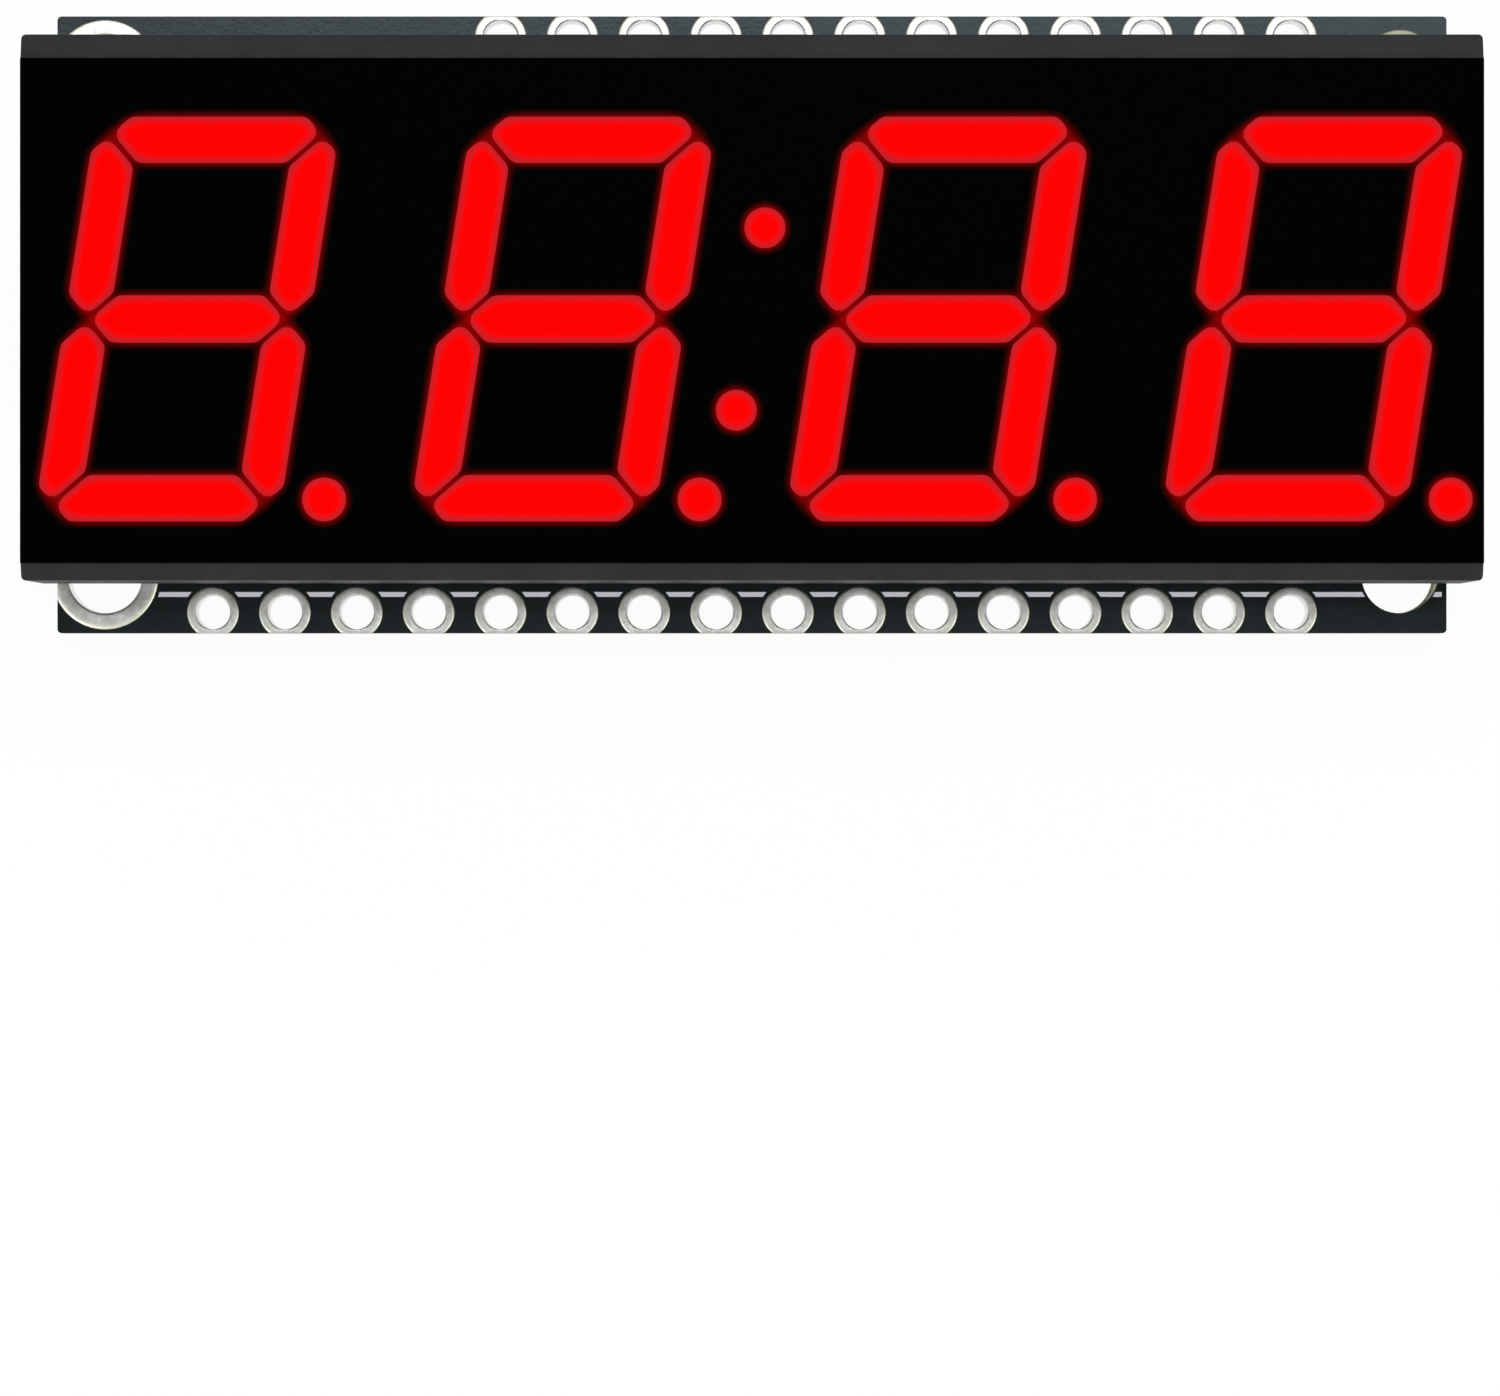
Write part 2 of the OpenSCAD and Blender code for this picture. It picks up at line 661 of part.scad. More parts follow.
module driver_chip_pads() {
    color(tin) for (x = chip_lead_places, side = [-1, 1])
        pad([x, side * (chip_lead_tip - chip_foot_l / 2)],
            [chip_lead_w + pad_margin / 2, chip_foot_l + 2 * pad_margin]);
}

module part_core(spot, size) {
    at(spot, back_pad_z - size[2] / 2)
        cube(size - [2 * cap_t, 2 * cap_t, 2 * cap_t], center = true);
}

module part_caps(spot, size) {
    difference() {
        for (side = [-1, 1])
            at(spot + [side * (size[0] - cap_l) / 2, 0], back_pad_z - size[2] / 2)
                cube([cap_l, size[1], size[2]], center = true);
        part_core(spot, size);
    }
}

module part_pad_pair(spot, size) {
    for (side = [-1, 1])
        pad(spot + [side * (size[0] - cap_l) / 2, 0], [cap_l + 2 * pad_margin, size[1] + pad_margin]);
}

module resistor_bodies() {
    color(moulded_black) for (spot = resistor_spots) part_core(spot, resistor_size);
}

module resistor_end_caps() {
    color(bright_tin) for (spot = resistor_spots) part_caps(spot, resistor_size);
}

module capacitor_bodies() {
    color(ceramic_brown) {
        part_core(small_capacitor_spot, small_capacitor_size);
        part_core(large_capacitor_spot, large_capacitor_size);
    }
}

module capacitor_end_caps() {
    color(bright_tin) {
        part_caps(small_capacitor_spot, small_capacitor_size);
        part_caps(large_capacitor_spot, large_capacitor_size);
    }
}

// The diode stands across the board, so its leads point up and down it
module diode_body() {
    low_z = board_back_z - chip_standoff - diode_size[2];
    color(moulded_black) at(diode_spot, 0)
        moulded_body(diode_size[1], diode_size[0], low_z, low_z + diode_size[2], cap_t, diode_lead_t);
}

module diode_leads() {
    mid_z = board_back_z - chip_standoff - diode_size[2] / 2;
    color(bright_tin) at(diode_spot, 0)
        bent_leads([0], diode_lead_w,
            bent_lead(diode_size[0] / 2, diode_lead_tip, diode_foot_l, mid_z, diode_lead_t));
}

module part_pads() {
    color(tin) {
        for (spot = resistor_spots) part_pad_pair(spot, resistor_size);
        part_pad_pair(small_capacitor_spot, small_capacitor_size);
        part_pad_pair(large_capacitor_spot, large_capacitor_size);
        for (side = [-1, 1])
            pad(diode_spot + [0, side * (diode_lead_tip - diode_foot_l / 2)],
                [diode_lead_w + 2 * pad_margin, diode_foot_l + 2 * pad_margin]);
    }
}

module address_jumper_pads() {
    color(tin) for (spot = jumper_spots, side = [-1, 1])
        pad(spot + [side * (jumper_pad_w + jumper_gap) / 2, 0], [jumper_pad_w, jumper_pad_h]);
}

module frame_line(spot, l, w) {
    translate(spot) difference() {
        square([l + 2 * print_line_w, w + 2 * print_line_w], center = true);
        square([l, w], center = true);
    }
}

// A printed box around a part with two pads in a row along X
module part_frame(spot, size) {
    frame_line(spot, size[0] + 2 * (pad_margin + print_clear), size[1] + pad_margin + 2 * print_clear);
}

module back_print() {
    mark_x = chip_l / 2 + print_clear;
    color(print_white) translate([0, 0, board_back_z - print_t]) linear_extrude(print_t) {
        for (side = [-1, 1]) translate([side * (mark_x + print_line_w / 2), 0])
            square([print_line_w, chip_w], center = true);
        translate([mark_x + chip_mark_r, -chip_lead_tip]) circle(r = chip_mark_r / 2);
        for (spot = resistor_spots) part_frame(spot, resistor_size);
        part_frame(small_capacitor_spot, small_capacitor_size);
        part_frame(large_capacitor_spot, large_capacitor_size);
        for (spot = jumper_spots)
            frame_line(spot, 2 * (jumper_pad_w + print_clear) + jumper_gap, jumper_pad_h + 2 * print_clear);
        frame_line(diode_spot, diode_size[1] + 2 * print_clear,
            2 * (diode_lead_tip + pad_margin + print_clear));
    }
}

for (digit = [1 : digit_count], name = segment_names)
    segment(digit, name);
for (digit = [1 : digit_count])
    dot(point_spot(digit), point_r);
dot(colon_spot(1), colon_r);  // colon_upper_dot
dot(colon_spot(-1), colon_r);  // colon_lower_dot
face_film();
display_housing();
led_carrier_board();
led_dies();
potting_epoxy();
display_leads();
circuit_board();
long_row_pads();
short_row_pads();
mounting_hole_rings();
display_lead_pads();
display_lead_solder();
driver_chip_body();
driver_chip_leads();
driver_chip_pads();
resistor_bodies();
resistor_end_caps();
capacitor_bodies();
capacitor_end_caps();
diode_body();
diode_leads();
part_pads();
address_jumper_pads();
front_outline_print();
back_print();
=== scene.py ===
# %% [markdown]
# # A four digit seven segment display module
# The real object is a clock display in a charcoal plastic housing, soldered to a small black
# circuit board. Behind the board sit a driver chip and a few small parts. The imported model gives
# every solid its true size. This notebook gives each surface its finish, and makes again the
# small soft shapes that a drill or an extrusion can't: domed tin, bent leads, solder and fillets.

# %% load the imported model
import json
import math

import bmesh
import bpy
import numpy as np
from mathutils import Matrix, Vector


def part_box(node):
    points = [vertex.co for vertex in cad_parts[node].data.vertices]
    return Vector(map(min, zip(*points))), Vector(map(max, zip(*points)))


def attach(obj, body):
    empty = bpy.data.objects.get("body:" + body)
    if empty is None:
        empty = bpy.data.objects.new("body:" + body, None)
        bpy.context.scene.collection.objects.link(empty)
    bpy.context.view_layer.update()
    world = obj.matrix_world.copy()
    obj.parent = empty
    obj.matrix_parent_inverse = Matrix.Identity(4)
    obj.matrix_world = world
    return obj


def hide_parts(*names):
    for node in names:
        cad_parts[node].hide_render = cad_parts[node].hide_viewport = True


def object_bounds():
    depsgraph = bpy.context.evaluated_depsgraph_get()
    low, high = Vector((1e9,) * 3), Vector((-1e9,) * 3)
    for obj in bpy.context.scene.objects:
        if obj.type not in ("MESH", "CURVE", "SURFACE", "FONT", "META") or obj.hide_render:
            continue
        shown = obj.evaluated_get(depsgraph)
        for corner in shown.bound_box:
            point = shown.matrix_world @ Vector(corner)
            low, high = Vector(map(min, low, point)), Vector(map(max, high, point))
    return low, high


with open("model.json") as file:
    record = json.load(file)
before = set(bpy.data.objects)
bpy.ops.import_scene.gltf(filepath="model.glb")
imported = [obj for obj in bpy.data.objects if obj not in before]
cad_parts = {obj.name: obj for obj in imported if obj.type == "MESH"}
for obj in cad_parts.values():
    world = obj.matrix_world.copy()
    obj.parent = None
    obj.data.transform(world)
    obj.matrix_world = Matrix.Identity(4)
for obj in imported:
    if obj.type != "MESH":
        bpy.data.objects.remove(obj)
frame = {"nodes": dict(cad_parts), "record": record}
cad_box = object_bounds()
mm = 0.001
print("nodes:", len(frame["nodes"]), "box in mm:", [round(c / mm, 2) for v in cad_box for c in v])

# %% [markdown]
# The frame answers most questions of size. Each node's box gives two corners, and from them come
# the levels of the board, the film and the chip, and the radii of the rings. Only what a box can't
# tell is named, such as a hole's radius. Everything here is in metres, and `mm` keeps the
# numbers readable.

# %% levels and places
def corners(node):
    """A node's lowest and highest corner as arrays."""
    low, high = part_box(node)
    return np.array(low), np.array(high)


board_low, board_high = corners("circuit_board")
film_low, film_high = corners("face_film")
house_low, house_high = corners("display_housing")
chip_low, chip_high = corners("driver_chip_body")
board_back, board_front = board_low[2], board_high[2]
pad_t = board_back - corners("part_pads")[0][2]
plating_t = 0.05 * mm
pitch = 2.54 * mm
lead_pitch = 5.08 * mm
header_hole_r = 0.6 * mm
mount_hole_r = 1.3 * mm
mount_ring_r = 1.88 * mm
lead_hole_r = 0.4 * mm


def end_radius(node, steps, step):
    """Radius of the rings in a row: what the row's box is longer than its steps, halved."""
    low, high = corners(node)
    return (high[0] - low[0] - steps * step) / 2


header_ring_r = end_radius("long_row_pads", 15, pitch)
lead_ring_r = end_radius("display_lead_pads", 6, lead_pitch)
lead_r = end_radius("display_leads", 6, lead_pitch)


def centres_in(node, ring_r, count):
    """Middles of a row of round pads: the first and last stand ring_r inside the node's box."""
    low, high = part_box(node)
    return np.linspace(low[0] + ring_r, high[0] - ring_r, count)


long_row_x = centres_in("long_row_pads", header_ring_r, 16)
short_row_x = centres_in("short_row_pads", header_ring_r, 12)
long_row_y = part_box("long_row_pads")[1][1] - header_ring_r
short_row_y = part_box("short_row_pads")[0][1] + header_ring_r
lead_x = centres_in("display_leads", lead_r, 7)
lead_y = np.array([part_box("display_leads")[0][1] + lead_r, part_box("display_leads")[1][1] - lead_r])
mount_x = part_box("mounting_hole_rings")[1][0] - mount_ring_r
mount_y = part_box("mounting_hole_rings")[1][1] - mount_ring_r
print("header rows at y", round(long_row_y / mm, 2), round(short_row_y / mm, 2))
print("mounting holes at", round(mount_x / mm, 2), round(mount_y / mm, 2))
print("display leads at y", np.round(lead_y / mm, 2))

# %% [markdown]
# A material is a small graph of nodes. Writing one by hand takes many lines, so two helpers do it:
# `add` places a node and fills or links its sockets by name, and `calc` does the same for a Math
# node and hands back its output. A finish that several materials share is a node group, with its
# own named inputs and outputs.

# %% helpers for node graphs
def add(tree, kind, settings=None, **inputs):
    """Places one node. An input that is another node's socket is linked, any other is set."""
    made = tree.nodes.new(kind)
    for key, value in (settings or {}).items():
        setattr(made, key, value)
    for key, value in inputs.items():
        socket = made.inputs[key.replace("_", " ")]
        if isinstance(value, bpy.types.NodeSocket):
            tree.links.new(value, socket)
        else:
            socket.default_value = value
    return made


def calc(tree, operation, *values):
    """One Math node: its operands are numbers or sockets, and its result is a socket."""
    made = tree.nodes.new("ShaderNodeMath")
    made.operation = operation
    for socket, value in zip(made.inputs, values):
        if isinstance(value, bpy.types.NodeSocket):
            tree.links.new(value, socket)
        else:
            socket.default_value = value
    return made.outputs[0]


def ramp(tree, value, low, high, at_low=0.0, at_high=1.0):
    """A value carried smoothly from at_low, where it is low, to at_high, where it is high."""
    made = add(tree, "ShaderNodeMapRange", {"interpolation_type": "SMOOTHSTEP"},
               Value=value, From_Min=low, From_Max=high, To_Min=at_low, To_Max=at_high)
    return made.outputs["Result"]


def ramp_line(tree, value, low, high):
    """A value's share of the way from low to high, kept between 0 and 1."""
    return add(tree, "ShaderNodeMapRange", Value=value, From_Min=low, From_Max=high).outputs["Result"]


def blend(tree, share, first, second):
    """Two colours mixed by a share between 0 and 1."""
    made = tree.nodes.new("ShaderNodeMix")
    made.data_type = "RGBA"
    for index, value in ((0, share), (6, first), (7, second)):
        if isinstance(value, bpy.types.NodeSocket):
            tree.links.new(value, made.inputs[index])
        else:
            made.inputs[index].default_value = value if index == 0 else (*value, 1)
    return made.outputs[2]


def group(name, inputs, outputs):
    """An empty node group with named sockets, and its inner input and output nodes."""
    tree = bpy.data.node_groups.new(name, "ShaderNodeTree")
    for key, kind, value in inputs:
        socket = tree.interface.new_socket(key, in_out="INPUT", socket_type=kind)
        if value is not None:
            socket.default_value = value
    for key, kind in outputs:
        tree.interface.new_socket(key, in_out="OUTPUT", socket_type=kind)
    return tree, tree.nodes.new("NodeGroupInput").outputs, tree.nodes.new("NodeGroupOutput").inputs


def use(tree, group_tree, **inputs):
    """Places a node group in a material and hands back its outputs."""
    return add(tree, "ShaderNodeGroup", {"node_tree": group_tree}, **inputs).outputs


def material(name, colour, roughness=0.5, metallic=0.0, **fixed):
    """A named material with its Principled shader, and the Object coordinates of its surface."""
    made = bpy.data.materials.new(name)
    made.use_nodes = True
    made.diffuse_color = (*colour, 1)
    tree = made.node_tree
    shader = tree.nodes["Principled BSDF"]
    shader.inputs["Base Color"].default_value = (*colour, 1)
    shader.inputs["Roughness"].default_value = roughness
    shader.inputs["Metallic"].default_value = metallic
    for key, value in fixed.items():
        shader.inputs[key.replace("_", " ")].default_value = value
    place = tree.nodes.new("ShaderNodeTexCoord").outputs["Object"]
    return made, tree, shader, place


def feed(tree, shader, **sources):
    """Links sockets into the shader's own inputs by name."""
    for key, value in sources.items():
        tree.links.new(value, shader.inputs[key.replace("_", " ")])


def raised(tree, height, distance, under=None):
    """A Bump node over a height between 0 and 1, whose full step is distance metres."""
    made = add(tree, "ShaderNodeBump", Height=height, Distance=distance, Strength=1.0)
    if under is not None:
        tree.links.new(under, made.inputs["Normal"])
    return made.outputs["Normal"]


print("helpers ready")

# %% [markdown]
# ## Shared finishes
# Grain is the fine tooth that a mould or a printed coat leaves: two layers of noise, one as coarse
# as a grain of salt and one finer. It comes out as one value around 0.5, so that a material can use
# it for colour, roughness and height alike.

# %% grain
grain_tree, grain_in, grain_out = group(
    "Grain",
    [("Vector", "NodeSocketVector", None), ("Size", "NodeSocketFloat", 0.1)],
    [("Value", "NodeSocketFloat")])
per_metre = calc(grain_tree, "DIVIDE", 1 / mm, grain_in["Size"])
coarse = add(grain_tree, "ShaderNodeTexNoise", Vector=grain_in["Vector"], Scale=per_metre,
             Detail=2.0, Roughness=0.6)
fine = add(grain_tree, "ShaderNodeTexNoise", Vector=grain_in["Vector"],
           Scale=calc(grain_tree, "MULTIPLY", per_metre, 3.7), Detail=1.0)
both = calc(grain_tree, "ADD", calc(grain_tree, "MULTIPLY", coarse.outputs["Fac"], 0.65),
            calc(grain_tree, "MULTIPLY", fine.outputs["Fac"], 0.35))
grain_tree.links.new(both, grain_out["Value"])
print("grain uses", len(grain_tree.nodes), "nodes")

# %% [markdown]
# Many finishes differ only in their numbers: two shades, a range of gloss and a depth of relief,
# all led by one grain. `grained` makes such a material, and a finish that needs more adds to it.

# %% grained materials
def grained(name, dark, light, gloss, size, height, span=(0.3, 0.7), **fixed):
    """Shade from dark to light, roughness over the gloss range and relief, by a grain size mm wide."""
    middle = tuple((a + b) / 2 for a, b in zip(dark, light))
    made, tree, shader, place = material(name, middle, roughness=sum(gloss) / 2, **fixed)
    grain = use(tree, grain_tree, Vector=place, Size=size)["Value"]
    feed(tree, shader, Base_Color=blend(tree, ramp(tree, grain, *span), dark, light))
    feed(tree, shader, Roughness=ramp(tree, grain, 0.2, 0.8, *gloss))
    feed(tree, shader, Normal=raised(tree, grain, height))
    return made, tree, shader, place


print("grained materials ready")

# %% [markdown]
# Hot air levelled tin is never quite even. It is bright where it is smooth and grey where it froze
# with a grain, and it has slow yellowish and bluish patches. One group gives all tinned surfaces
# their colour, their roughness and a low swell.

# %% tin
tin_tree, tin_in, tin_out = group(
    "Tin",
    [("Vector", "NodeSocketVector", None), ("Size", "NodeSocketFloat", 0.5),
     ("Tint", "NodeSocketColor", (0.72, 0.71, 0.66, 1)), ("Polish", "NodeSocketFloat", 0.3)],
    [("Color", "NodeSocketColor"), ("Roughness", "NodeSocketFloat"), ("Height", "NodeSocketFloat")])
patches = use(tin_tree, grain_tree, Vector=tin_in["Vector"], Size=tin_in["Size"])["Value"]
frost = use(tin_tree, grain_tree, Vector=tin_in["Vector"],
            Size=calc(tin_tree, "MULTIPLY", tin_in["Size"], 0.12))["Value"]
cool_tin = blend(tin_tree, 0.25, tin_in["Tint"], (0.80, 0.82, 0.86))
mixed = blend(tin_tree, ramp(tin_tree, patches, 0.35, 0.65), tin_in["Tint"], cool_tin)
tin_tree.links.new(mixed, tin_out["Color"])
rough = calc(tin_tree, "ADD", tin_in["Polish"],
             calc(tin_tree, "MULTIPLY", calc(tin_tree, "SUBTRACT", frost, 0.5), 0.3))
tin_tree.links.new(rough, tin_out["Roughness"])
swell = calc(tin_tree, "ADD", calc(tin_tree, "MULTIPLY", patches, 0.75),
             calc(tin_tree, "MULTIPLY", frost, 0.25))
tin_tree.links.new(swell, tin_out["Height"])
print("tin uses", len(tin_tree.nodes), "nodes")

# %% [markdown]
# ## Where the light is
# The lit outlines are needed twice: the segments are duller along their rims, and the black film
# glows a little around them. So one group works out how far a point is from the nearest outline, in
# millimetres, below zero inside it. A slanted digit is made upright first, and then folded left to
# right and top to bottom, so that seven segments become three: a bar, a post and the middle bar.
# Each one is convex, so its distance is the largest of its edges' distances, smoothed a little to
# round its corners, and the whole digit's is the smallest of the three. The glow is a sum over the
# segments, and more than that in the narrow gaps: the thin wall between two cavities passes light
# from both. The square of a sum, less the squares of its terms, is what the terms share there.

# %% the digits' measures in millimetres
digit_pitch = 12.9
digit_half_w = 4.21
digit_half_h = 6.95
slant = math.tan(math.radians(8.9))
bar_h = 1.59
post_w = 1.53
middle_half = 0.81
middle_tip = 3.33
segment_gap = 0.18
corner_cut = 1.2
waist_h = 0.86
point_x, point_y, point_r = 5.67, -6.2, 0.75
colon_y, colon_r = 3.135, 0.7
row_x = np.array(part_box("digit_1_segment_g")[0])[0] / mm
row_x = (row_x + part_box("digit_4_segment_g")[1][0] / mm) / 2
row_y = (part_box("digit_1_segment_g")[0][1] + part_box("digit_1_segment_g")[1][1]) / 2 / mm
print("middle of the digits' row:", round(row_x, 3), round(row_y, 3))

# %% distance to the lit outlines
lit_tree, lit_in, lit_out = group(
    "Lit outlines", [("Vector", "NodeSocketVector", None)],
    [("Distance", "NodeSocketFloat"), ("Glow", "NodeSocketFloat")])


def fold(operation, *values, blend_mm=()):
    """Joins values into one, two at a time; a smooth operation blends them over blend_mm."""
    result = values[0]
    for value in values[1:]:
        result = calc(lit_tree, operation, result, value, *blend_mm)
    return result


def edge(u_share, v_share, reach):
    """Distance past the line u_share * U + v_share * V = reach, in the folded digit."""
    total = calc(lit_tree, "MULTIPLY_ADD", folded_u, float(u_share),
                 calc(lit_tree, "MULTIPLY", folded_v, float(v_share)))
    return calc(lit_tree, "DIVIDE", calc(lit_tree, "SUBTRACT", total, reach),
                math.hypot(u_share, v_share))


def from_dot(across, up, radius):
    """Distance past a round window, from offsets measured in the slanted digit."""
    true_across = calc(lit_tree, "MULTIPLY_ADD", up, slant, across)
    squares = calc(lit_tree, "MULTIPLY_ADD", true_across, true_across, calc(lit_tree, "MULTIPLY", up, up))
    return calc(lit_tree, "SUBTRACT", calc(lit_tree, "SQRT", squares), radius)


apart = add(lit_tree, "ShaderNodeSeparateXYZ", Vector=lit_in["Vector"]).outputs
up = calc(lit_tree, "MULTIPLY_ADD", apart["Y"], 1 / mm, -row_y)
along = calc(lit_tree, "MULTIPLY_ADD", apart["X"], 1 / mm, -row_x)
upright = calc(lit_tree, "MULTIPLY_ADD", up, -slant, along)
lean_room = 0.8
held = calc(lit_tree, "MINIMUM", calc(lit_tree, "MAXIMUM", upright, lean_room - 1.999 * digit_pitch),
            lean_room + 1.999 * digit_pitch)
in_digit = calc(lit_tree, "WRAP", calc(lit_tree, "ADD", held, 1.5 * digit_pitch),
                lean_room + digit_pitch / 2, lean_room - digit_pitch / 2)
folded_u = calc(lit_tree, "ABSOLUTE", in_digit)
folded_v = calc(lit_tree, "ABSOLUTE", up)
bar_in = digit_half_h - bar_h
post_in = digit_half_w - post_w
mitre = bar_in - post_in
mitre_gap = segment_gap / math.sqrt(2)
corner_sum = digit_half_w + digit_half_h - corner_cut
waist_sum = middle_tip + segment_gap * math.sqrt(2)
cut_corner = edge(1, 1, corner_sum)
soft = (0.5,)
bar = fold("SMOOTH_MAX", edge(0, 1, digit_half_h), edge(0, -1, -bar_in), cut_corner,
           edge(1, -1, -mitre - mitre_gap), blend_mm=soft)
post = fold("SMOOTH_MAX", edge(1, 0, digit_half_w), edge(-1, 0, -post_in), cut_corner,
            edge(-1, 1, mitre - mitre_gap), edge(1, -1, digit_half_w - waist_h),
            edge(-1, -1, -waist_sum), blend_mm=soft)
middle = fold("SMOOTH_MAX", edge(0, 1, middle_half), edge(1, 1, middle_tip), blend_mm=soft)
point = from_dot(calc(lit_tree, "SUBTRACT", in_digit, point_x),
                 calc(lit_tree, "SUBTRACT", up, point_y), point_r)
side = calc(lit_tree, "SIGN", up)
colon = from_dot(calc(lit_tree, "MULTIPLY", upright, side),
                 calc(lit_tree, "SUBTRACT", folded_v, colon_y), colon_r)
windows = (bar, post, middle, point, colon)
lit_tree.links.new(fold("MINIMUM", *windows), lit_out["Distance"])
glow_reach = 0.085
outside = [calc(lit_tree, "MAXIMUM", window, 0.0) for window in windows]
glows = [calc(lit_tree, "EXPONENT", calc(lit_tree, "DIVIDE", way, -glow_reach)) for way in outside]
glow_sum = fold("ADD", *glows)
own_squares = fold("ADD", *[calc(lit_tree, "MULTIPLY", one, one) for one in glows])
shared = calc(lit_tree, "SUBTRACT", calc(lit_tree, "MULTIPLY", glow_sum, glow_sum), own_squares)
web_glow = 1.5
lit_tree.links.new(calc(lit_tree, "MULTIPLY_ADD", shared, web_glow, glow_sum), lit_out["Glow"])
print("lit outlines use", len(lit_tree.nodes), "nodes")

# %% [markdown]
# ## The lit resin
# Each segment is the front of a resin filled cavity with a light at its back. It shines by itself,
# so nearly all of its colour is emission: full red over the face, and duller and a little pink in
# the last tenths of a millimetre, where the cavity's wall takes some light away.

# %% lit resin
def lit_resin():
    """Red emission that falls off towards the outline, over a dark red resin."""
    made, tree, shader, place = material("lit_resin", (0.02, 0.0, 0.0), roughness=0.45,
                                         Specular_IOR_Level=0.006, Emission_Strength=1.0)
    rim = ramp(tree, use(tree, lit_tree, Vector=place)["Distance"], -0.32, 0.02)
    cloud = use(tree, grain_tree, Vector=place, Size=0.8)["Value"]
    face = blend(tree, ramp(tree, cloud, 0.3, 0.7), (0.95, 0.0, 0.0), (1.0, 0.0, 0.0))
    feed(tree, shader, Emission_Color=blend(tree, rim, face, (0.52, 0.014, 0.022)))
    feed(tree, shader, Roughness=ramp(tree, cloud, 0.3, 0.7, 0.4, 0.5))
    return made


# %% [markdown]
# ## The black film
# The face is a sheet of matt black film with windows for the light. In the photograph it is as
# black as print gets, with a soft dark red glow beside each window, because a little light creeps
# into the film's edge. The glow falls by half every seventeenth of a millimetre, and a small amount
# is taken off it everywhere, so that it ends about a quarter of a millimetre from the window.

# %% black film
def black_film():
    """Near black, with a fine tooth in its gloss, and a red glow next to the windows."""
    made, tree, shader, place = grained("black_film", (0.0001, 0.0001, 0.0001), (0.0004, 0.0004, 0.0004),
                                        (0.42, 0.6), 0.06, 0.002 * mm, Specular_IOR_Level=0.004,
                                        Emission_Strength=1.0)
    glow = ramp_line(tree, use(tree, lit_tree, Vector=place)["Glow"], 0.04, 3.0)
    feed(tree, shader, Emission_Color=blend(tree, glow, (0.0, 0.0, 0.0), (0.64, 0.0, 0.0)))
    return made


# %% [markdown]
# ## The housing's plastic
# The housing is moulded in a charcoal plastic. The mould was spark eroded, which leaves an even,
# sandy tooth that catches the light along the edges, and the flow of the plastic leaves slow
# changes of shade. Both are too fine to model and are noise at their true size.

# %% charcoal plastic
def charcoal_plastic():
    """Dark grey with a sandy tooth, slightly paler where the flow cooled slowly."""
    made, tree, shader, place = material("charcoal_plastic", (0.02, 0.0204, 0.0226), roughness=0.5,
                                         Specular_IOR_Level=0.1)
    tooth = use(tree, grain_tree, Vector=place, Size=0.09)["Value"]
    flow = use(tree, grain_tree, Vector=place, Size=4.0)["Value"]
    shade = calc(tree, "ADD", calc(tree, "MULTIPLY", tooth, 0.4), calc(tree, "MULTIPLY", flow, 0.6))
    feed(tree, shader, Base_Color=blend(tree, ramp(tree, shade, 0.35, 0.65), (0.0165, 0.0168, 0.0187),
                                        (0.0235, 0.024, 0.0265)))
    feed(tree, shader, Roughness=ramp(tree, tooth, 0.2, 0.8, 0.42, 0.62))
    feed(tree, shader, Normal=raised(tree, tooth, 0.006 * mm))
    return made


# %% [markdown]
# ## The board
# A bare board is glass cloth in resin, pale and a little green, and it shows at the milled edges
# and in the unplated holes. Both faces wear a coat of black solder mask, which mirrors white light a
# little bluish: the tint of its gloss is set on the shader. The mask's openings around the two
# bare holes were printed a little too far up, so each shows a thin pale crescent on its upper side.
# Which of these a point shows is decided by its place and by the way its face looks.

# %% mask and laminate
mask_shift = (0.03 * mm, 0.14 * mm)
mask_opening_r = mount_hole_r + 0.08 * mm


def bare_share(tree, place):
    """How much of the pale laminate shows: on upright faces, and in the openings of the mask."""
    normal = add(tree, "ShaderNodeNewGeometry").outputs["Normal"]
    upright = calc(tree, "ABSOLUTE", add(tree, "ShaderNodeSeparateXYZ", Vector=normal).outputs["Z"])
    axes = add(tree, "ShaderNodeSeparateXYZ", Vector=place).outputs
    east = calc(tree, "SUBTRACT", axes["X"], -mount_x + mask_shift[0])
    north = calc(tree, "SUBTRACT", calc(tree, "ABSOLUTE", calc(tree, "SUBTRACT", axes["Y"], mask_shift[1])),
                 mount_y)
    squares = calc(tree, "MULTIPLY_ADD", east, east, calc(tree, "MULTIPLY", north, north))
    opening = ramp(tree, calc(tree, "SQRT", squares), mask_opening_r - 0.03 * mm,
                   mask_opening_r + 0.03 * mm, 1.0, 0.0)
    return calc(tree, "MAXIMUM", opening, ramp(tree, upright, 0.4, 0.6, 1.0, 0.0))


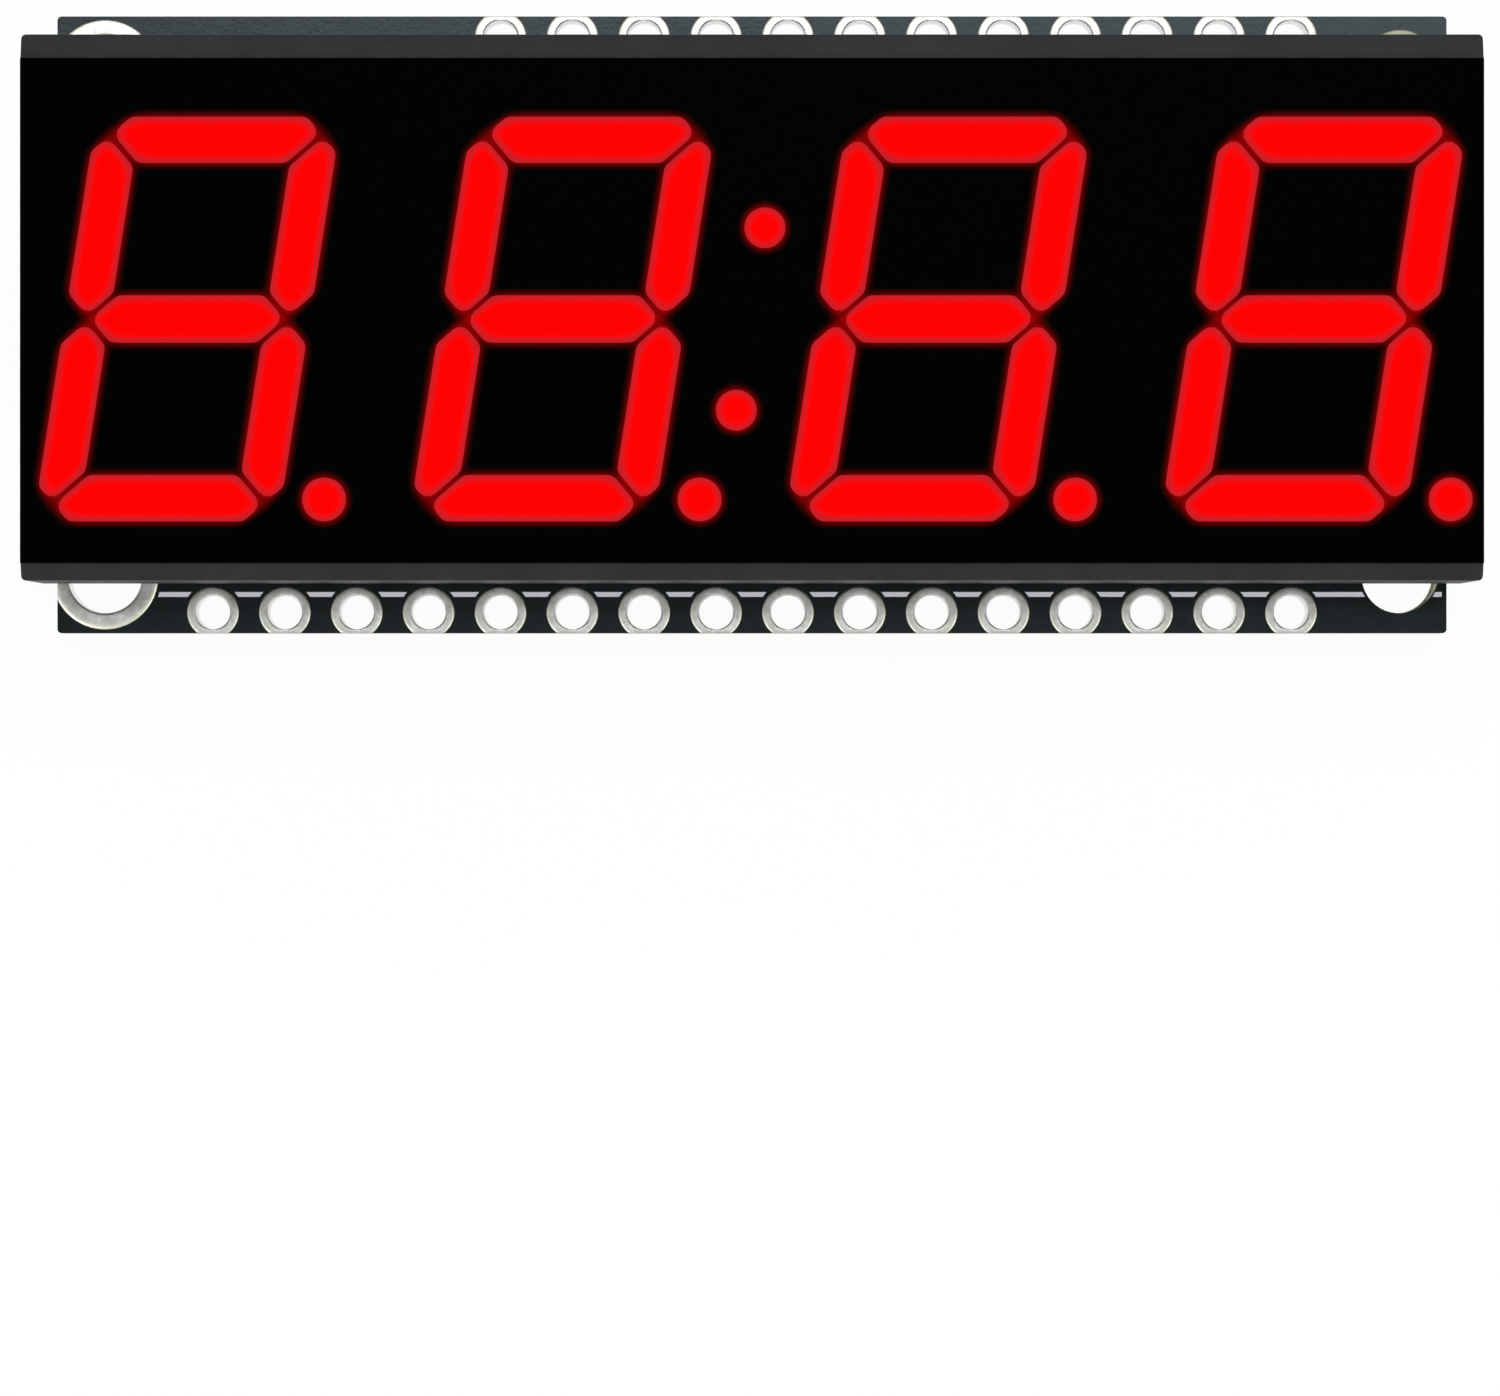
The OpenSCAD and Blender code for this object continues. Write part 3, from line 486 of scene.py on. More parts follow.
def black_board():
    """Black mask over the board's faces, and pale glass laminate where it is milled or drilled."""
    made, tree, shader, place = material("black_board", (0.005, 0.007, 0.0075), roughness=0.19,
                                         Specular_IOR_Level=0.13, Specular_Tint=(0.76, 0.95, 1.0, 1.0))
    bare = bare_share(tree, place)
    cloud = use(tree, grain_tree, Vector=place, Size=1.6)["Value"]
    mask = blend(tree, ramp(tree, cloud, 0.35, 0.65), (0.0035, 0.005, 0.0055), (0.0065, 0.0085, 0.0095))
    layered = add(tree, "ShaderNodeMapping", Vector=place, Scale=(1.0, 1.0, 6.0)).outputs["Vector"]
    cloth = use(tree, grain_tree, Vector=layered, Size=0.7)["Value"]
    laminate = blend(tree, ramp(tree, cloth, 0.35, 0.65), (0.44, 0.43, 0.29), (0.60, 0.58, 0.43))
    feed(tree, shader, Base_Color=blend(tree, bare, mask, laminate))
    feed(tree, shader, Roughness=ramp(tree, bare, 0.0, 1.0, 0.19, 0.8))
    ripple = use(tree, grain_tree, Vector=place, Size=0.35)["Value"]
    feed(tree, shader, Normal=raised(tree, ripple, 0.006 * mm))
    return made


# %% [markdown]
# ## Tinned metal, solder and leads
# All of them are tin over copper or iron, so they share the tin group. They differ in tint and
# polish: pads are levelled and grey, solder is bright and smooth, and leads are plated and slightly
# brushed by the tool that bent them. The rings' colour holds painted light. A pale tint in the hole
# lifts the shade in the bore. A darker grey over the inner part of a ring is painted shade. A pale
# cream towards the outer edge is a painted highlight over the tin's own cream. The rings' meshes
# carry each point's share of the way outwards as an attribute, `outward`, which is 0 inside the
# hole. Pads without a hole read 0 too, so a second attribute, `bored`, tells them from a hole's wall.

# %% tinned finishes
def tinned(name, tint, polish, size, height):
    """A metal from the tin group, with its own tint, polish and size of patches."""
    made, tree, shader, place = material(name, tint, roughness=polish, metallic=1.0)
    tin = use(tree, tin_tree, Vector=place, Size=size, Tint=(*tint, 1), Polish=polish)
    feed(tree, shader, Base_Color=tin["Color"], Roughness=tin["Roughness"])
    feed(tree, shader, Normal=raised(tree, tin["Height"], height))
    return made


def tinned_pads():
    """Tin with painted shade over a ring's inner part, a painted cream highlight at its outer edge, and
    painted light in the hole.
    """
    made, tree, shader, place = material("tinned_pads", (0.42, 0.42, 0.38), roughness=0.4, metallic=1.0)
    outward = add(tree, "ShaderNodeAttribute", {"attribute_name": "outward"}).outputs["Fac"]
    # Painted light on the ring: darker grey inside as painted shade, pale cream at the outer edge as a
    # painted highlight.
    outer_highlight = ramp(tree, outward, 0.64, 0.94)
    face = blend(tree, outer_highlight, (0.35, 0.355, 0.325), (0.58, 0.58, 0.465))
    bored = add(tree, "ShaderNodeAttribute", {"attribute_name": "bored"}).outputs["Fac"]
    # Painted light in the hole: the wall and lip get a pale tint that lifts the shade in the bore.
    inside = calc(tree, "MULTIPLY", bored, ramp(tree, outward, 0.01, 0.07, 1.0, 0.0))
    tint = blend(tree, inside, face, (0.86, 0.86, 0.84))
    tin = use(tree, tin_tree, Vector=place, Size=0.45, Tint=tint, Polish=0.4)
    feed(tree, shader, Base_Color=tin["Color"], Roughness=tin["Roughness"])
    feed(tree, shader, Normal=raised(tree, tin["Height"], 0.010 * mm))
    return made


# %% [markdown]
# ## Moulded chip, ceramic parts and print
# The chip and the diode are moulded from black epoxy with a fine matt tooth. A resistor is a white
# ceramic chip with a black glaze on its outer face, and a capacitor is brown ceramic all through.
# The print is white ink, thin enough for the black to show where it runs out.

# %% the diode's epoxy
def diode_epoxy():
    """Black epoxy with the grey band that marks one end of a diode."""
    black = (0.014, 0.014, 0.016), (0.024, 0.024, 0.027)
    made, tree, shader, place = grained("diode_epoxy", *black, (0.45, 0.65), 0.05, 0.005 * mm)
    axes = add(tree, "ShaderNodeSeparateXYZ", Vector=place).outputs
    from_end = calc(tree, "SUBTRACT", diode_high[1], axes["Y"])
    band = calc(tree, "MULTIPLY", ramp(tree, from_end, 0.3 * mm, 0.33 * mm),
                ramp(tree, from_end, 0.62 * mm, 0.65 * mm, 1.0, 0.0))
    feed(tree, shader, Base_Color=blend(tree, band, black[0], (0.35, 0.35, 0.34)))
    return made


diode_low, diode_high = corners("diode_body")
print("diode body from y", round(diode_low[1] / mm, 2), "to", round(diode_high[1] / mm, 2))

# %% the resistors' ceramic
def resistor_ceramic():
    """White ceramic sides under a black glaze, which covers only the outer face."""
    made, tree, shader, place = material("resistor_ceramic", (0.02, 0.02, 0.025), roughness=0.3)
    normal = add(tree, "ShaderNodeSeparateXYZ", Vector=add(tree, "ShaderNodeNewGeometry").outputs["Normal"])
    glazed = ramp(tree, normal.outputs["Z"], -0.8, -0.6, 1.0, 0.0)
    cloud = use(tree, grain_tree, Vector=place, Size=0.2)["Value"]
    white = blend(tree, ramp(tree, cloud, 0.3, 0.7), (0.62, 0.61, 0.57), (0.74, 0.73, 0.70))
    feed(tree, shader, Base_Color=blend(tree, glazed, white, (0.012, 0.012, 0.015)))
    feed(tree, shader, Roughness=ramp(tree, glazed, 0.0, 1.0, 0.7, 0.25))
    feed(tree, shader, Normal=raised(tree, cloud, 0.004 * mm))
    return made


# %% [markdown]
# Three finishes are sealed inside the housing: the board that carries the lights, the lights
# themselves and the resin poured in behind them. They get a true finish too, because the model can
# be taken apart.

# %% the carrier's laminate
def carrier_laminate():
    """Pale laminate with a faint weave."""
    made, tree, shader, place = material("carrier_laminate", (0.62, 0.58, 0.42), roughness=0.6)
    weave = add(tree, "ShaderNodeTexChecker", Vector=place, Scale=3000.0).outputs["Fac"]
    cloud = use(tree, grain_tree, Vector=place, Size=0.6)["Value"]
    share = calc(tree, "MULTIPLY_ADD", weave, 0.25, cloud)
    feed(tree, shader, Base_Color=blend(tree, ramp(tree, share, 0.3, 0.9), (0.55, 0.50, 0.34),
                                        (0.68, 0.64, 0.50)))
    feed(tree, shader, Normal=raised(tree, cloud, 0.004 * mm))
    return made


# %% all finishes
finishes = {
    "red_light": lit_resin(),
    "black_film": black_film(),
    "charcoal_plastic": charcoal_plastic(),
    "carrier_laminate": carrier_laminate(),
    "die_metal": tinned("die_metal", (0.80, 0.62, 0.30), 0.3, 0.1, 0.004 * mm),
    "potting_resin": grained("potting_resin", (0.45, 0.41, 0.33), (0.60, 0.56, 0.48), (0.2, 0.3), 3.0,
                             0.02 * mm)[0],
    "tinned_leads": tinned("tinned_leads", (0.64, 0.64, 0.62), 0.34, 0.3, 0.004 * mm),
    "black_board": black_board(),
    "masked_copper": grained("masked_copper", (0.020, 0.023, 0.026), (0.028, 0.032, 0.035), (0.2, 0.3),
                             0.5, 0.004 * mm, Specular_IOR_Level=0.2)[0],
    "tinned_pads": tinned_pads(),
    "solder": tinned("solder", (0.66, 0.67, 0.68), 0.24, 0.5, 0.010 * mm),
    "chip_plastic": grained("chip_plastic", (0.014, 0.014, 0.016), (0.024, 0.024, 0.027), (0.5, 0.7),
                            0.05, 0.005 * mm, Specular_IOR_Level=0.35)[0],
    "diode_epoxy": diode_epoxy(),
    "resistor_glaze": resistor_ceramic(),
    "capacitor_ceramic": grained("capacitor_ceramic", (0.24, 0.15, 0.08), (0.36, 0.24, 0.14), (0.3, 0.5),
                                 0.12, 0.004 * mm)[0],
    "end_caps": tinned("end_caps", (0.64, 0.64, 0.62), 0.32, 0.35, 0.008 * mm),
    "white_print": grained("white_print", (0.62, 0.63, 0.68), (0.88, 0.88, 0.95), (0.55, 0.65), 0.12,
                           0.004 * mm, span=(0.22, 0.42))[0],
}
print("finishes:", ", ".join(finishes))

# %% [markdown]
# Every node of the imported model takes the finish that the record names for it. The nodes that are
# modelled again below are hidden later by the pieces that stand for them.

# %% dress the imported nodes
for part in frame["record"]["subparts"]:
    mesh = frame["nodes"][part["node"]].data
    mesh.materials.clear()
    mesh.materials.append(finishes[part["material_slot"]])

# %% [markdown]
# ## Surfaces from numbers
# Every new piece is a grid of points: rows along one parameter, columns along another. `piece`
# takes such grids as arrays, many copies at once if the shape repeats, and works out all the faces
# with index arithmetic. A row whose points all coincide is a pole. Welding closes poles and seams,
# and the faces are then turned to point outwards. A point may have a fourth number after its place,
# which its material reads as the attribute `outward`.

# %% grids to meshes
def grid_quads(rows, columns, closed_rows, closed_columns):
    """Corner numbers of a grid's faces; a closed direction joins its last line to its first."""
    r = np.arange(rows if closed_rows else rows - 1)
    c = np.arange(columns if closed_columns else columns - 1)
    row, column = (a.ravel() for a in np.meshgrid(r, c, indexing="ij"))
    next_row = (row + 1) % rows
    next_column = (column + 1) % columns
    return np.stack([row * columns + column, row * columns + next_column,
                     next_row * columns + next_column, next_row * columns + column], axis=1)


def piece(name, grids, finish, *stands_for, slot=None, smooth_below=40):
    """One object from grids (points, closed_rows, closed_columns); points: copies, rows, columns, 3 or 4."""
    spots, quads, start = [], [], 0
    for points, closed_rows, closed_columns in grids:
        copies, rows, columns, width = points.shape
        base = grid_quads(rows, columns, closed_rows, closed_columns)
        shifts = start + np.arange(copies)[:, None, None] * rows * columns
        quads.append((base[None] + shifts).reshape(-1, 4))
        spots.append(points.reshape(-1, width))
        start += copies * rows * columns
    spots = np.concatenate(spots).astype(np.float32)
    quads = np.concatenate(quads).astype(np.int32)
    mesh = bpy.data.meshes.new(name)
    mesh.vertices.add(len(spots))
    mesh.vertices.foreach_set("co", spots[:, :3].ravel())
    mesh.loops.add(quads.size)
    mesh.loops.foreach_set("vertex_index", quads.ravel())
    mesh.polygons.add(len(quads))
    mesh.polygons.foreach_set("loop_start", np.arange(0, quads.size, 4, dtype=np.int32))
    mesh.update(calc_edges=True)
    if spots.shape[1] == 4:
        mesh.attributes.new("outward", "FLOAT", "POINT").data.foreach_set("value", spots[:, 3])
        mesh.attributes.new("bored", "FLOAT", "POINT").data.foreach_set("value", np.ones(len(spots)))
    weld(mesh)
    mesh.materials.append(finishes[finish])
    mesh.shade_smooth()
    mesh.set_sharp_from_angle(angle=math.radians(smooth_below))
    made = bpy.data.objects.new(name, mesh)
    bpy.context.scene.collection.objects.link(made)
    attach(made, "root")
    if stands_for:
        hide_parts(*stands_for)
    print(name, len(mesh.polygons), "faces")
    return made


def weld(mesh):
    """Joins points that coincide, drops the faces that this closes up, and turns faces outwards."""
    work = bmesh.new()
    work.from_mesh(mesh)
    bmesh.ops.remove_doubles(work, verts=work.verts, dist=1e-7)
    bmesh.ops.dissolve_degenerate(work, edges=work.edges, dist=1e-8)
    bmesh.ops.recalc_face_normals(work, faces=work.faces)
    work.to_mesh(mesh)
    work.free()


def turn(steps, start=0.0, sweep=2 * math.pi):
    """Angles of a closed turn, without the last one, which would repeat the first."""
    return start + sweep * np.arange(steps) / steps


# %% [markdown]
# ## Plated holes
# A plated hole is a copper barrel with a ring on each face, dipped in tin. The tin pulls itself
# into a low dome on the ring and rounds the hole's lip. So its section is a closed loop: up the
# bore, over the lip, across the dome, down to the board, and back round the barrel to the other
# face. The loop turns about the hole's axis. `dome` lists it as shares of the ring's width and lifts
# in thicknesses of a pad. Some rings reach past the board's edges and are cut there, so a ring's
# reach depends on the direction.

# %% plated holes
dome = np.array([(0.0, -5.0), (0.0, -0.4), (0.015, 0.35), (0.045, 0.72), (0.1, 0.93), (0.25, 0.99),
                 (0.5, 1.0), (0.78, 0.97), (0.91, 0.76), (0.97, 0.42), (1.0, 0.0)])


def ring_reach(spots, angles, ring_r):
    """How far a ring goes in each direction: its radius, or the way to the board's edge if shorter."""
    reach = np.full((len(spots), len(angles)), ring_r)
    for axis, direction in ((0, np.cos(angles)), (1, np.sin(angles))):
        room = board_high[axis] - np.abs(spots[:, axis:axis + 1])
        outward = direction * spots[:, axis:axis + 1] > 0
        reach = np.where(outward, np.minimum(reach, room / np.maximum(np.abs(direction), 1e-3)), reach)
    return reach


def plated_holes(spots, hole_r, ring_r, steps=48):
    """Radius is the bore plus a share of the way to the reach; height is a lift off the board's face."""
    spots, angles = np.asarray(spots), turn(steps)
    shares, lifts = dome.T
    shares = np.concatenate([shares, [0, 0], shares[::-1]])
    heights = np.concatenate([board_front + lifts * pad_t, [board_front, board_back],
                              board_back - lifts[::-1] * pad_t])
    barrel = np.zeros(len(shares))
    barrel[len(dome):len(dome) + 2] = plating_t
    reach = ring_reach(spots, angles, ring_r)[:, None, :]
    radius = hole_r + barrel[:, None] + shares[:, None] * (reach - hole_r)
    radius = np.minimum(radius, np.maximum(reach, hole_r + plating_t))
    x = spots[:, 0, None, None] + radius * np.cos(angles)
    y = spots[:, 1, None, None] + radius * np.sin(angles)
    outward = (radius - hole_r) / (ring_r - hole_r)
    return np.stack(np.broadcast_arrays(x, y, heights[:, None], outward), axis=-1), True, True


def row_of(xs, y):
    """Spots along one line."""
    return [(x, y) for x in xs]


lead_spots = row_of(lead_x, lead_y[0]) + row_of(lead_x, lead_y[1])
piece("long_row_rings", [plated_holes(row_of(long_row_x, long_row_y), header_hole_r, header_ring_r)],
      "tinned_pads", "long_row_pads")
piece("short_row_rings", [plated_holes(row_of(short_row_x, short_row_y), header_hole_r, header_ring_r)],
      "tinned_pads", "short_row_pads")
piece("mounting_rings", [plated_holes([(mount_x, -mount_y), (mount_x, mount_y)], mount_hole_r,
                                      mount_ring_r, steps=96)],
      "tinned_pads", "mounting_hole_rings")
piece("lead_rings", [plated_holes(lead_spots, lead_hole_r, lead_ring_r)],
      "tinned_pads", "display_lead_pads")

# %% [markdown]
# ## Solder and lead tails
# The display's leads come through the board, and each is soldered at the back. Molten solder wets
# both the ring and the lead and freezes as a hollow cone: wide at the ring, thin where it climbs
# the lead. A power of the height gives that curve. No two joints are alike, so each gets its own
# height and a slight lean, drawn once from a seeded generator. The tails are snipped off, which
# leaves a slanted end.

# %% solder cones and snipped tails
rng = np.random.default_rng(7)
lead_spots = np.array(lead_spots)
lead_count = len(lead_spots)
cone_heights = 0.8 * mm * rng.uniform(0.82, 1.0, (lead_count, 1))
cone_leans = rng.uniform(-0.03, 0.03, (lead_count, 2)) * mm


def solder_cones(steps=40, levels=14):
    """Radius falls from the ring's to the lead's by (1 - t) to the power 1.9, as height rises by t."""
    t = np.linspace(0, 1, levels)
    skirt = lead_r + 0.02 * mm + (lead_ring_r - 0.06 * mm - lead_r) * (1 - t) ** 1.9
    radius = np.concatenate([[0, skirt[0]], skirt, [0]])[:, None]
    rise = np.concatenate([[0, 0], t, [1]])
    angles = turn(steps)
    z = board_back - pad_t - rise * cone_heights
    z[:, :2] += 0.1 * mm
    shifts = lead_spots[:, None, :] + cone_leans[:, None, :] * rise[:, None]
    x = shifts[..., 0, None] + radius * np.cos(angles)
    y = shifts[..., 1, None] + radius * np.sin(angles)
    return np.stack(np.broadcast_arrays(x, y, z[:, :, None]), axis=-1), False, True


def lead_tails(steps=28):
    """Round pins from the carrier board down to a snipped end, whose height slants across the pin."""
    low, high = corners("display_leads")
    slopes = rng.uniform(-0.35, 0.35, (lead_count, 2, 1, 1))
    angles = turn(steps)
    radius = np.array([0.0, 0.85, 1.0, 1.0, 1.0, 0.0])[:, None] * lead_r
    across, along = radius * np.cos(angles), radius * np.sin(angles)
    heights = np.array([low[2], low[2], low[2] + 0.05 * mm, board_back, high[2], high[2]])[:, None]
    tip = np.array([1.0, 1.0, 1.0, 0.0, 0.0, 0.0])[:, None]
    slant = slopes[:, 0] * across + slopes[:, 1] * along + 0.12 * mm
    x, y = lead_spots[:, 0, None, None] + across, lead_spots[:, 1, None, None] + along
    return np.stack(np.broadcast_arrays(x, y, heights + tip * slant), axis=-1), False, True


piece("lead_solder", [solder_cones()], "solder", "display_lead_solder")
piece("lead_tails", [lead_tails()], "tinned_leads", "display_leads")

# %% [markdown]
# ## Rounded boxes
# Small parts are boxes with soft edges. A rounded box is a small ball pulled apart: each point of
# the ball is pushed out to the corner on its own side. Taking every angle at a quadrant's border
# twice gives the flat sides between.

# %% rounded boxes and low pads
def quadrant_angles(start, steps, quarters):
    """Angles over whole quarters of a turn, with each border taken twice."""
    one = np.linspace(0, math.pi / 2, steps + 1)
    return start + np.concatenate([q * math.pi / 2 + one for q in range(quarters)])


def rounded_boxes(centres, sizes, radius, steps=3):
    """Ball of the given radius, its eight parts moved to the corners of a smaller box."""
    centres = np.atleast_2d(centres)
    sizes = np.broadcast_to(np.asarray(sizes), centres.shape)
    around = quadrant_angles(0.0, steps, 4)
    side_x = np.repeat([1, -1, -1, 1], steps + 1)
    side_y = np.repeat([1, 1, -1, -1], steps + 1)
    rise = quadrant_angles(-math.pi / 2, steps, 2)
    side_z = np.repeat([-1, 1], steps + 1)
    flat, height = np.cos(rise), np.sin(rise)
    ball = np.stack(np.broadcast_arrays(flat[:, None] * np.cos(around), flat[:, None] * np.sin(around),
                                        height[:, None] * np.ones(len(around))), axis=-1) * radius
    ends = np.zeros((len(rise) + 2, len(around), 3))
    ends[1:-1] = ball
    ends[0], ends[-1] = (0, 0, -radius), (0, 0, radius)
    sides = np.zeros_like(ends)
    sides[1:-1] = np.stack(np.broadcast_arrays(side_x, side_y, side_z[:, None]), axis=-1)
    sides[0], sides[-1] = (0, 0, -1), (0, 0, 1)
    reach = sizes[:, None, None, :] / 2 - radius
    return centres[:, None, None, :] + sides[None] * reach + ends[None], False, True


def outline(half_x, half_y, radius, steps=4):
    """Loop of a rounded rectangle: a circle of the radius whose quarters move to the corners."""
    around = quadrant_angles(0.0, steps, 4)
    side_x = np.repeat([1, -1, -1, 1], steps + 1)
    side_y = np.repeat([1, 1, -1, -1], steps + 1)
    return np.stack([side_x * (half_x - radius) + radius * np.cos(around),
                     side_y * (half_y - radius) + radius * np.sin(around)], axis=-1)


def lofts(spots, rings):
    """Solids through a list of rings (half_x, half_y, radius, z[, shift_x, shift_y]), closed by poles."""
    loops = []
    for half_x, half_y, radius, z, *shift in rings:
        flat = outline(half_x, half_y, radius) + (shift or (0, 0))
        loops.append(np.concatenate([flat, np.full((len(flat), 1), z)], axis=1))
    loops = np.array(loops)
    first, last = loops[0].mean(axis=0), loops[-1].mean(axis=0)
    loops = np.concatenate([np.broadcast_to(first, loops[:1].shape), loops,
                            np.broadcast_to(last, loops[:1].shape)])
    spots = np.atleast_2d(spots)
    moved = np.concatenate([spots, np.zeros((len(spots), 1))], axis=1)
    return loops[None] + moved[:, None, None, :], False, True


pad_corner = 0.08 * mm


def low_pads(spots, half_x, half_y, dome=pad_t):
    """Tin on a flat pad: it starts at the board, rises round its edge and is almost flat on top."""
    rise = [(0.0, 0.0), (0.02, 0.45), (0.05, 0.75), (0.11, 0.93), (0.2, 1.0)]
    rings = [(half_x - inset * mm, half_y - inset * mm, pad_corner, board_back - share * dome)
             for inset, share in rise if inset * mm < min(half_x, half_y) - pad_corner]
    return lofts(spots, rings)


# %% [markdown]
# ## The driver chip
# The chip's body is cast in two halves, so its sides lean in above and below the line where they
# met. That line and the soft edges come from a stack of rounded rectangles. The dimple that marks
# the first lead is part of the same stack: the last rectangles on the top shrink to a circle about
# the dimple's middle and then sink into it.

# %% chip body
chip_half_x, chip_half_y = chip_high[0], chip_high[1]
chip_h = chip_high[2]
draft = 0.15 * mm
dimple_r, dimple_depth = 0.5 * mm, 0.1 * mm
dimple_x = chip_half_x - draft - 2 * dimple_r
dimple_y = -(chip_half_y - draft - 2 * dimple_r)


def chip_rings():
    """Rings from the underside, over the parting line, to the top's edge and down into the dimple."""
    corner, edge_r = 0.12 * mm, 0.07 * mm
    mid, seam = chip_h / 2, 0.015 * mm
    rings = [(chip_half_x - draft - edge_r, chip_half_y - draft - edge_r, corner, chip_h),
             (chip_half_x - draft, chip_half_y - draft, corner, chip_h - edge_r)]
    for inset, z in ((0.0, mid + 2 * seam), (0.0, mid + seam), (seam, mid), (0.0, mid - seam),
                     (0.0, mid - 2 * seam)):
        rings.append((chip_half_x - inset, chip_half_y - inset, corner, z))
    for angle in np.linspace(0, math.pi / 2, 5):
        inset = draft + edge_r * (1 - math.cos(angle))
        rings.append((chip_half_x - inset, chip_half_y - inset, corner, edge_r * (1 - math.sin(angle))))
    for share, depth in ((1.12, 0.0), (1.04, 0.01), (0.98, 0.2), (0.9, 0.55), (0.75, 0.85), (0.5, 1.0)):
        r = dimple_r * share
        rings.append((r, r, r * 0.999, depth * dimple_depth, dimple_x, dimple_y))
    return rings


piece("chip_body", [lofts([(0, 0)], chip_rings())], "chip_plastic", "driver_chip_body", smooth_below=50)

# %% [markdown]
# ## Bent leads
# A lead is a strip of plated metal: straight out of the body, down, and flat on its pad. Its middle
# line is a path of straight stretches joined by arcs, and its section, a rectangle with softened
# corners, is carried along that path. The section stands square to the path at every step, so the
# bends keep their thickness.

# %% path and sweep
def bent_path(points, radius, steps=6):
    """Path through points in the plane, each inner corner replaced by an arc of the radius."""
    points = np.asarray(points, float)
    path = [points[:1]]
    for before, corner, after in zip(points[:-2], points[1:-1], points[2:]):
        to_before = (before - corner) / np.linalg.norm(before - corner)
        to_after = (after - corner) / np.linalg.norm(after - corner)
        half = math.acos(np.clip(to_before @ to_after, -1, 1)) / 2
        way = radius / math.tan(half)
        start, end = corner + to_before * way, corner + to_after * way
        inward = (to_before + to_after) / np.linalg.norm(to_before + to_after)
        middle = corner + inward * radius / math.sin(half)
        share = np.linspace(0, 1, steps + 1)[:, None]
        arc = start + (end - start) * share - middle
        path.append(middle + arc / np.linalg.norm(arc, axis=1, keepdims=True) * radius)
    path.append(points[-1:])
    return np.concatenate(path)


def swept_leads(places, sides, path, width, thickness, soften=0.03 * mm):
    """Rounded section (width along X, thickness across the path) carried along a path in the YZ plane."""
    ahead = np.gradient(path, axis=0)
    ahead /= np.linalg.norm(ahead, axis=1, keepdims=True)
    across = np.stack([-ahead[:, 1], ahead[:, 0]], axis=-1)
    section = outline(width / 2, thickness / 2, soften, steps=2)
    y = path[:, None, 0] + across[:, None, 0] * section[None, :, 1]
    z = path[:, None, 1] + across[:, None, 1] * section[None, :, 1]
    x = np.broadcast_to(section[None, :, 0], y.shape)
    tube = np.stack([x, y, z], axis=-1)
    tube = np.concatenate([tube[:1].mean(axis=1, keepdims=True) + 0 * tube[:1], tube,
                           tube[-1:].mean(axis=1, keepdims=True) + 0 * tube[-1:]])
    copies = [tube * (1, side, 1) + (place, 0, 0) for place in places for side in sides]
    return np.array(copies), False, True


leads_low, leads_high = corners("driver_chip_leads")
chip_lead_w, chip_lead_t, chip_foot_l = 0.4 * mm, 0.25 * mm, 0.75 * mm
chip_lead_x = np.linspace(leads_low[0] + chip_lead_w / 2, leads_high[0] - chip_lead_w / 2, 14)
chip_tip = leads_high[1]
foot_z = board_back - pad_t - chip_lead_t / 2
knee = chip_tip - chip_foot_l
chip_path = bent_path([(chip_half_y - 0.1 * mm, chip_h / 2), (knee - 0.1 * mm, chip_h / 2),
                       (knee + 0.02 * mm, foot_z), (chip_tip, foot_z)], 0.16 * mm)
piece("chip_leads", [swept_leads(chip_lead_x, (-1, 1), chip_path, chip_lead_w, chip_lead_t)],
      "tinned_leads", "driver_chip_leads", smooth_below=50)

# %% [markdown]
# ## Pads and their solder
# Solder runs up from each pad onto the foot or end cap that stands on it. Its foot follows the
# pad's outline, its upper rim follows the part's, and between them it sags: the outline shrinks
# fast near the board and slowly near the rim.

# %% fillets
def fillets(spots, pad_half, part_half, height):
    """Skirts from a pad's outline to a part's, shrinking by (1 - t) squared as they rise by t."""
    rings = [(pad_half[0], pad_half[1], pad_corner, board_back)]
    for t in np.linspace(0, 1, 8):
        sag = (1 - t) ** 2
        half_x = part_half[0] + (pad_half[0] - part_half[0]) * sag * 0.96
        half_y = part_half[1] + (pad_half[1] - part_half[1]) * sag * 0.96
        level = board_back - pad_t * 0.7 - height * t
        rings.append((half_x, half_y, pad_corner * (0.4 + 0.6 * sag), level))
    return lofts(spots, rings)


chip_pad_half = (chip_lead_w / 2 + 0.0625 * mm, chip_foot_l / 2 + 0.25 * mm)
foot_y = chip_tip - chip_foot_l / 2
chip_feet = [(x, side * foot_y) for x in chip_lead_x for side in (-1, 1)]
foot_half = (chip_lead_w / 2 - 0.01 * mm, chip_foot_l / 2 + 0.02 * mm)
piece("chip_joints", [fillets(chip_feet, chip_pad_half, foot_half, chip_lead_t * 0.75)],
      "solder", "driver_chip_pads")

# %% [markdown]
# ## Resistors, capacitors and the diode
# The small parts stand in columns at both ends of the chip. Their places come from the packed
# nodes: the bodies' meshes are split into islands, and each island's box gives a part's middle and
# size.

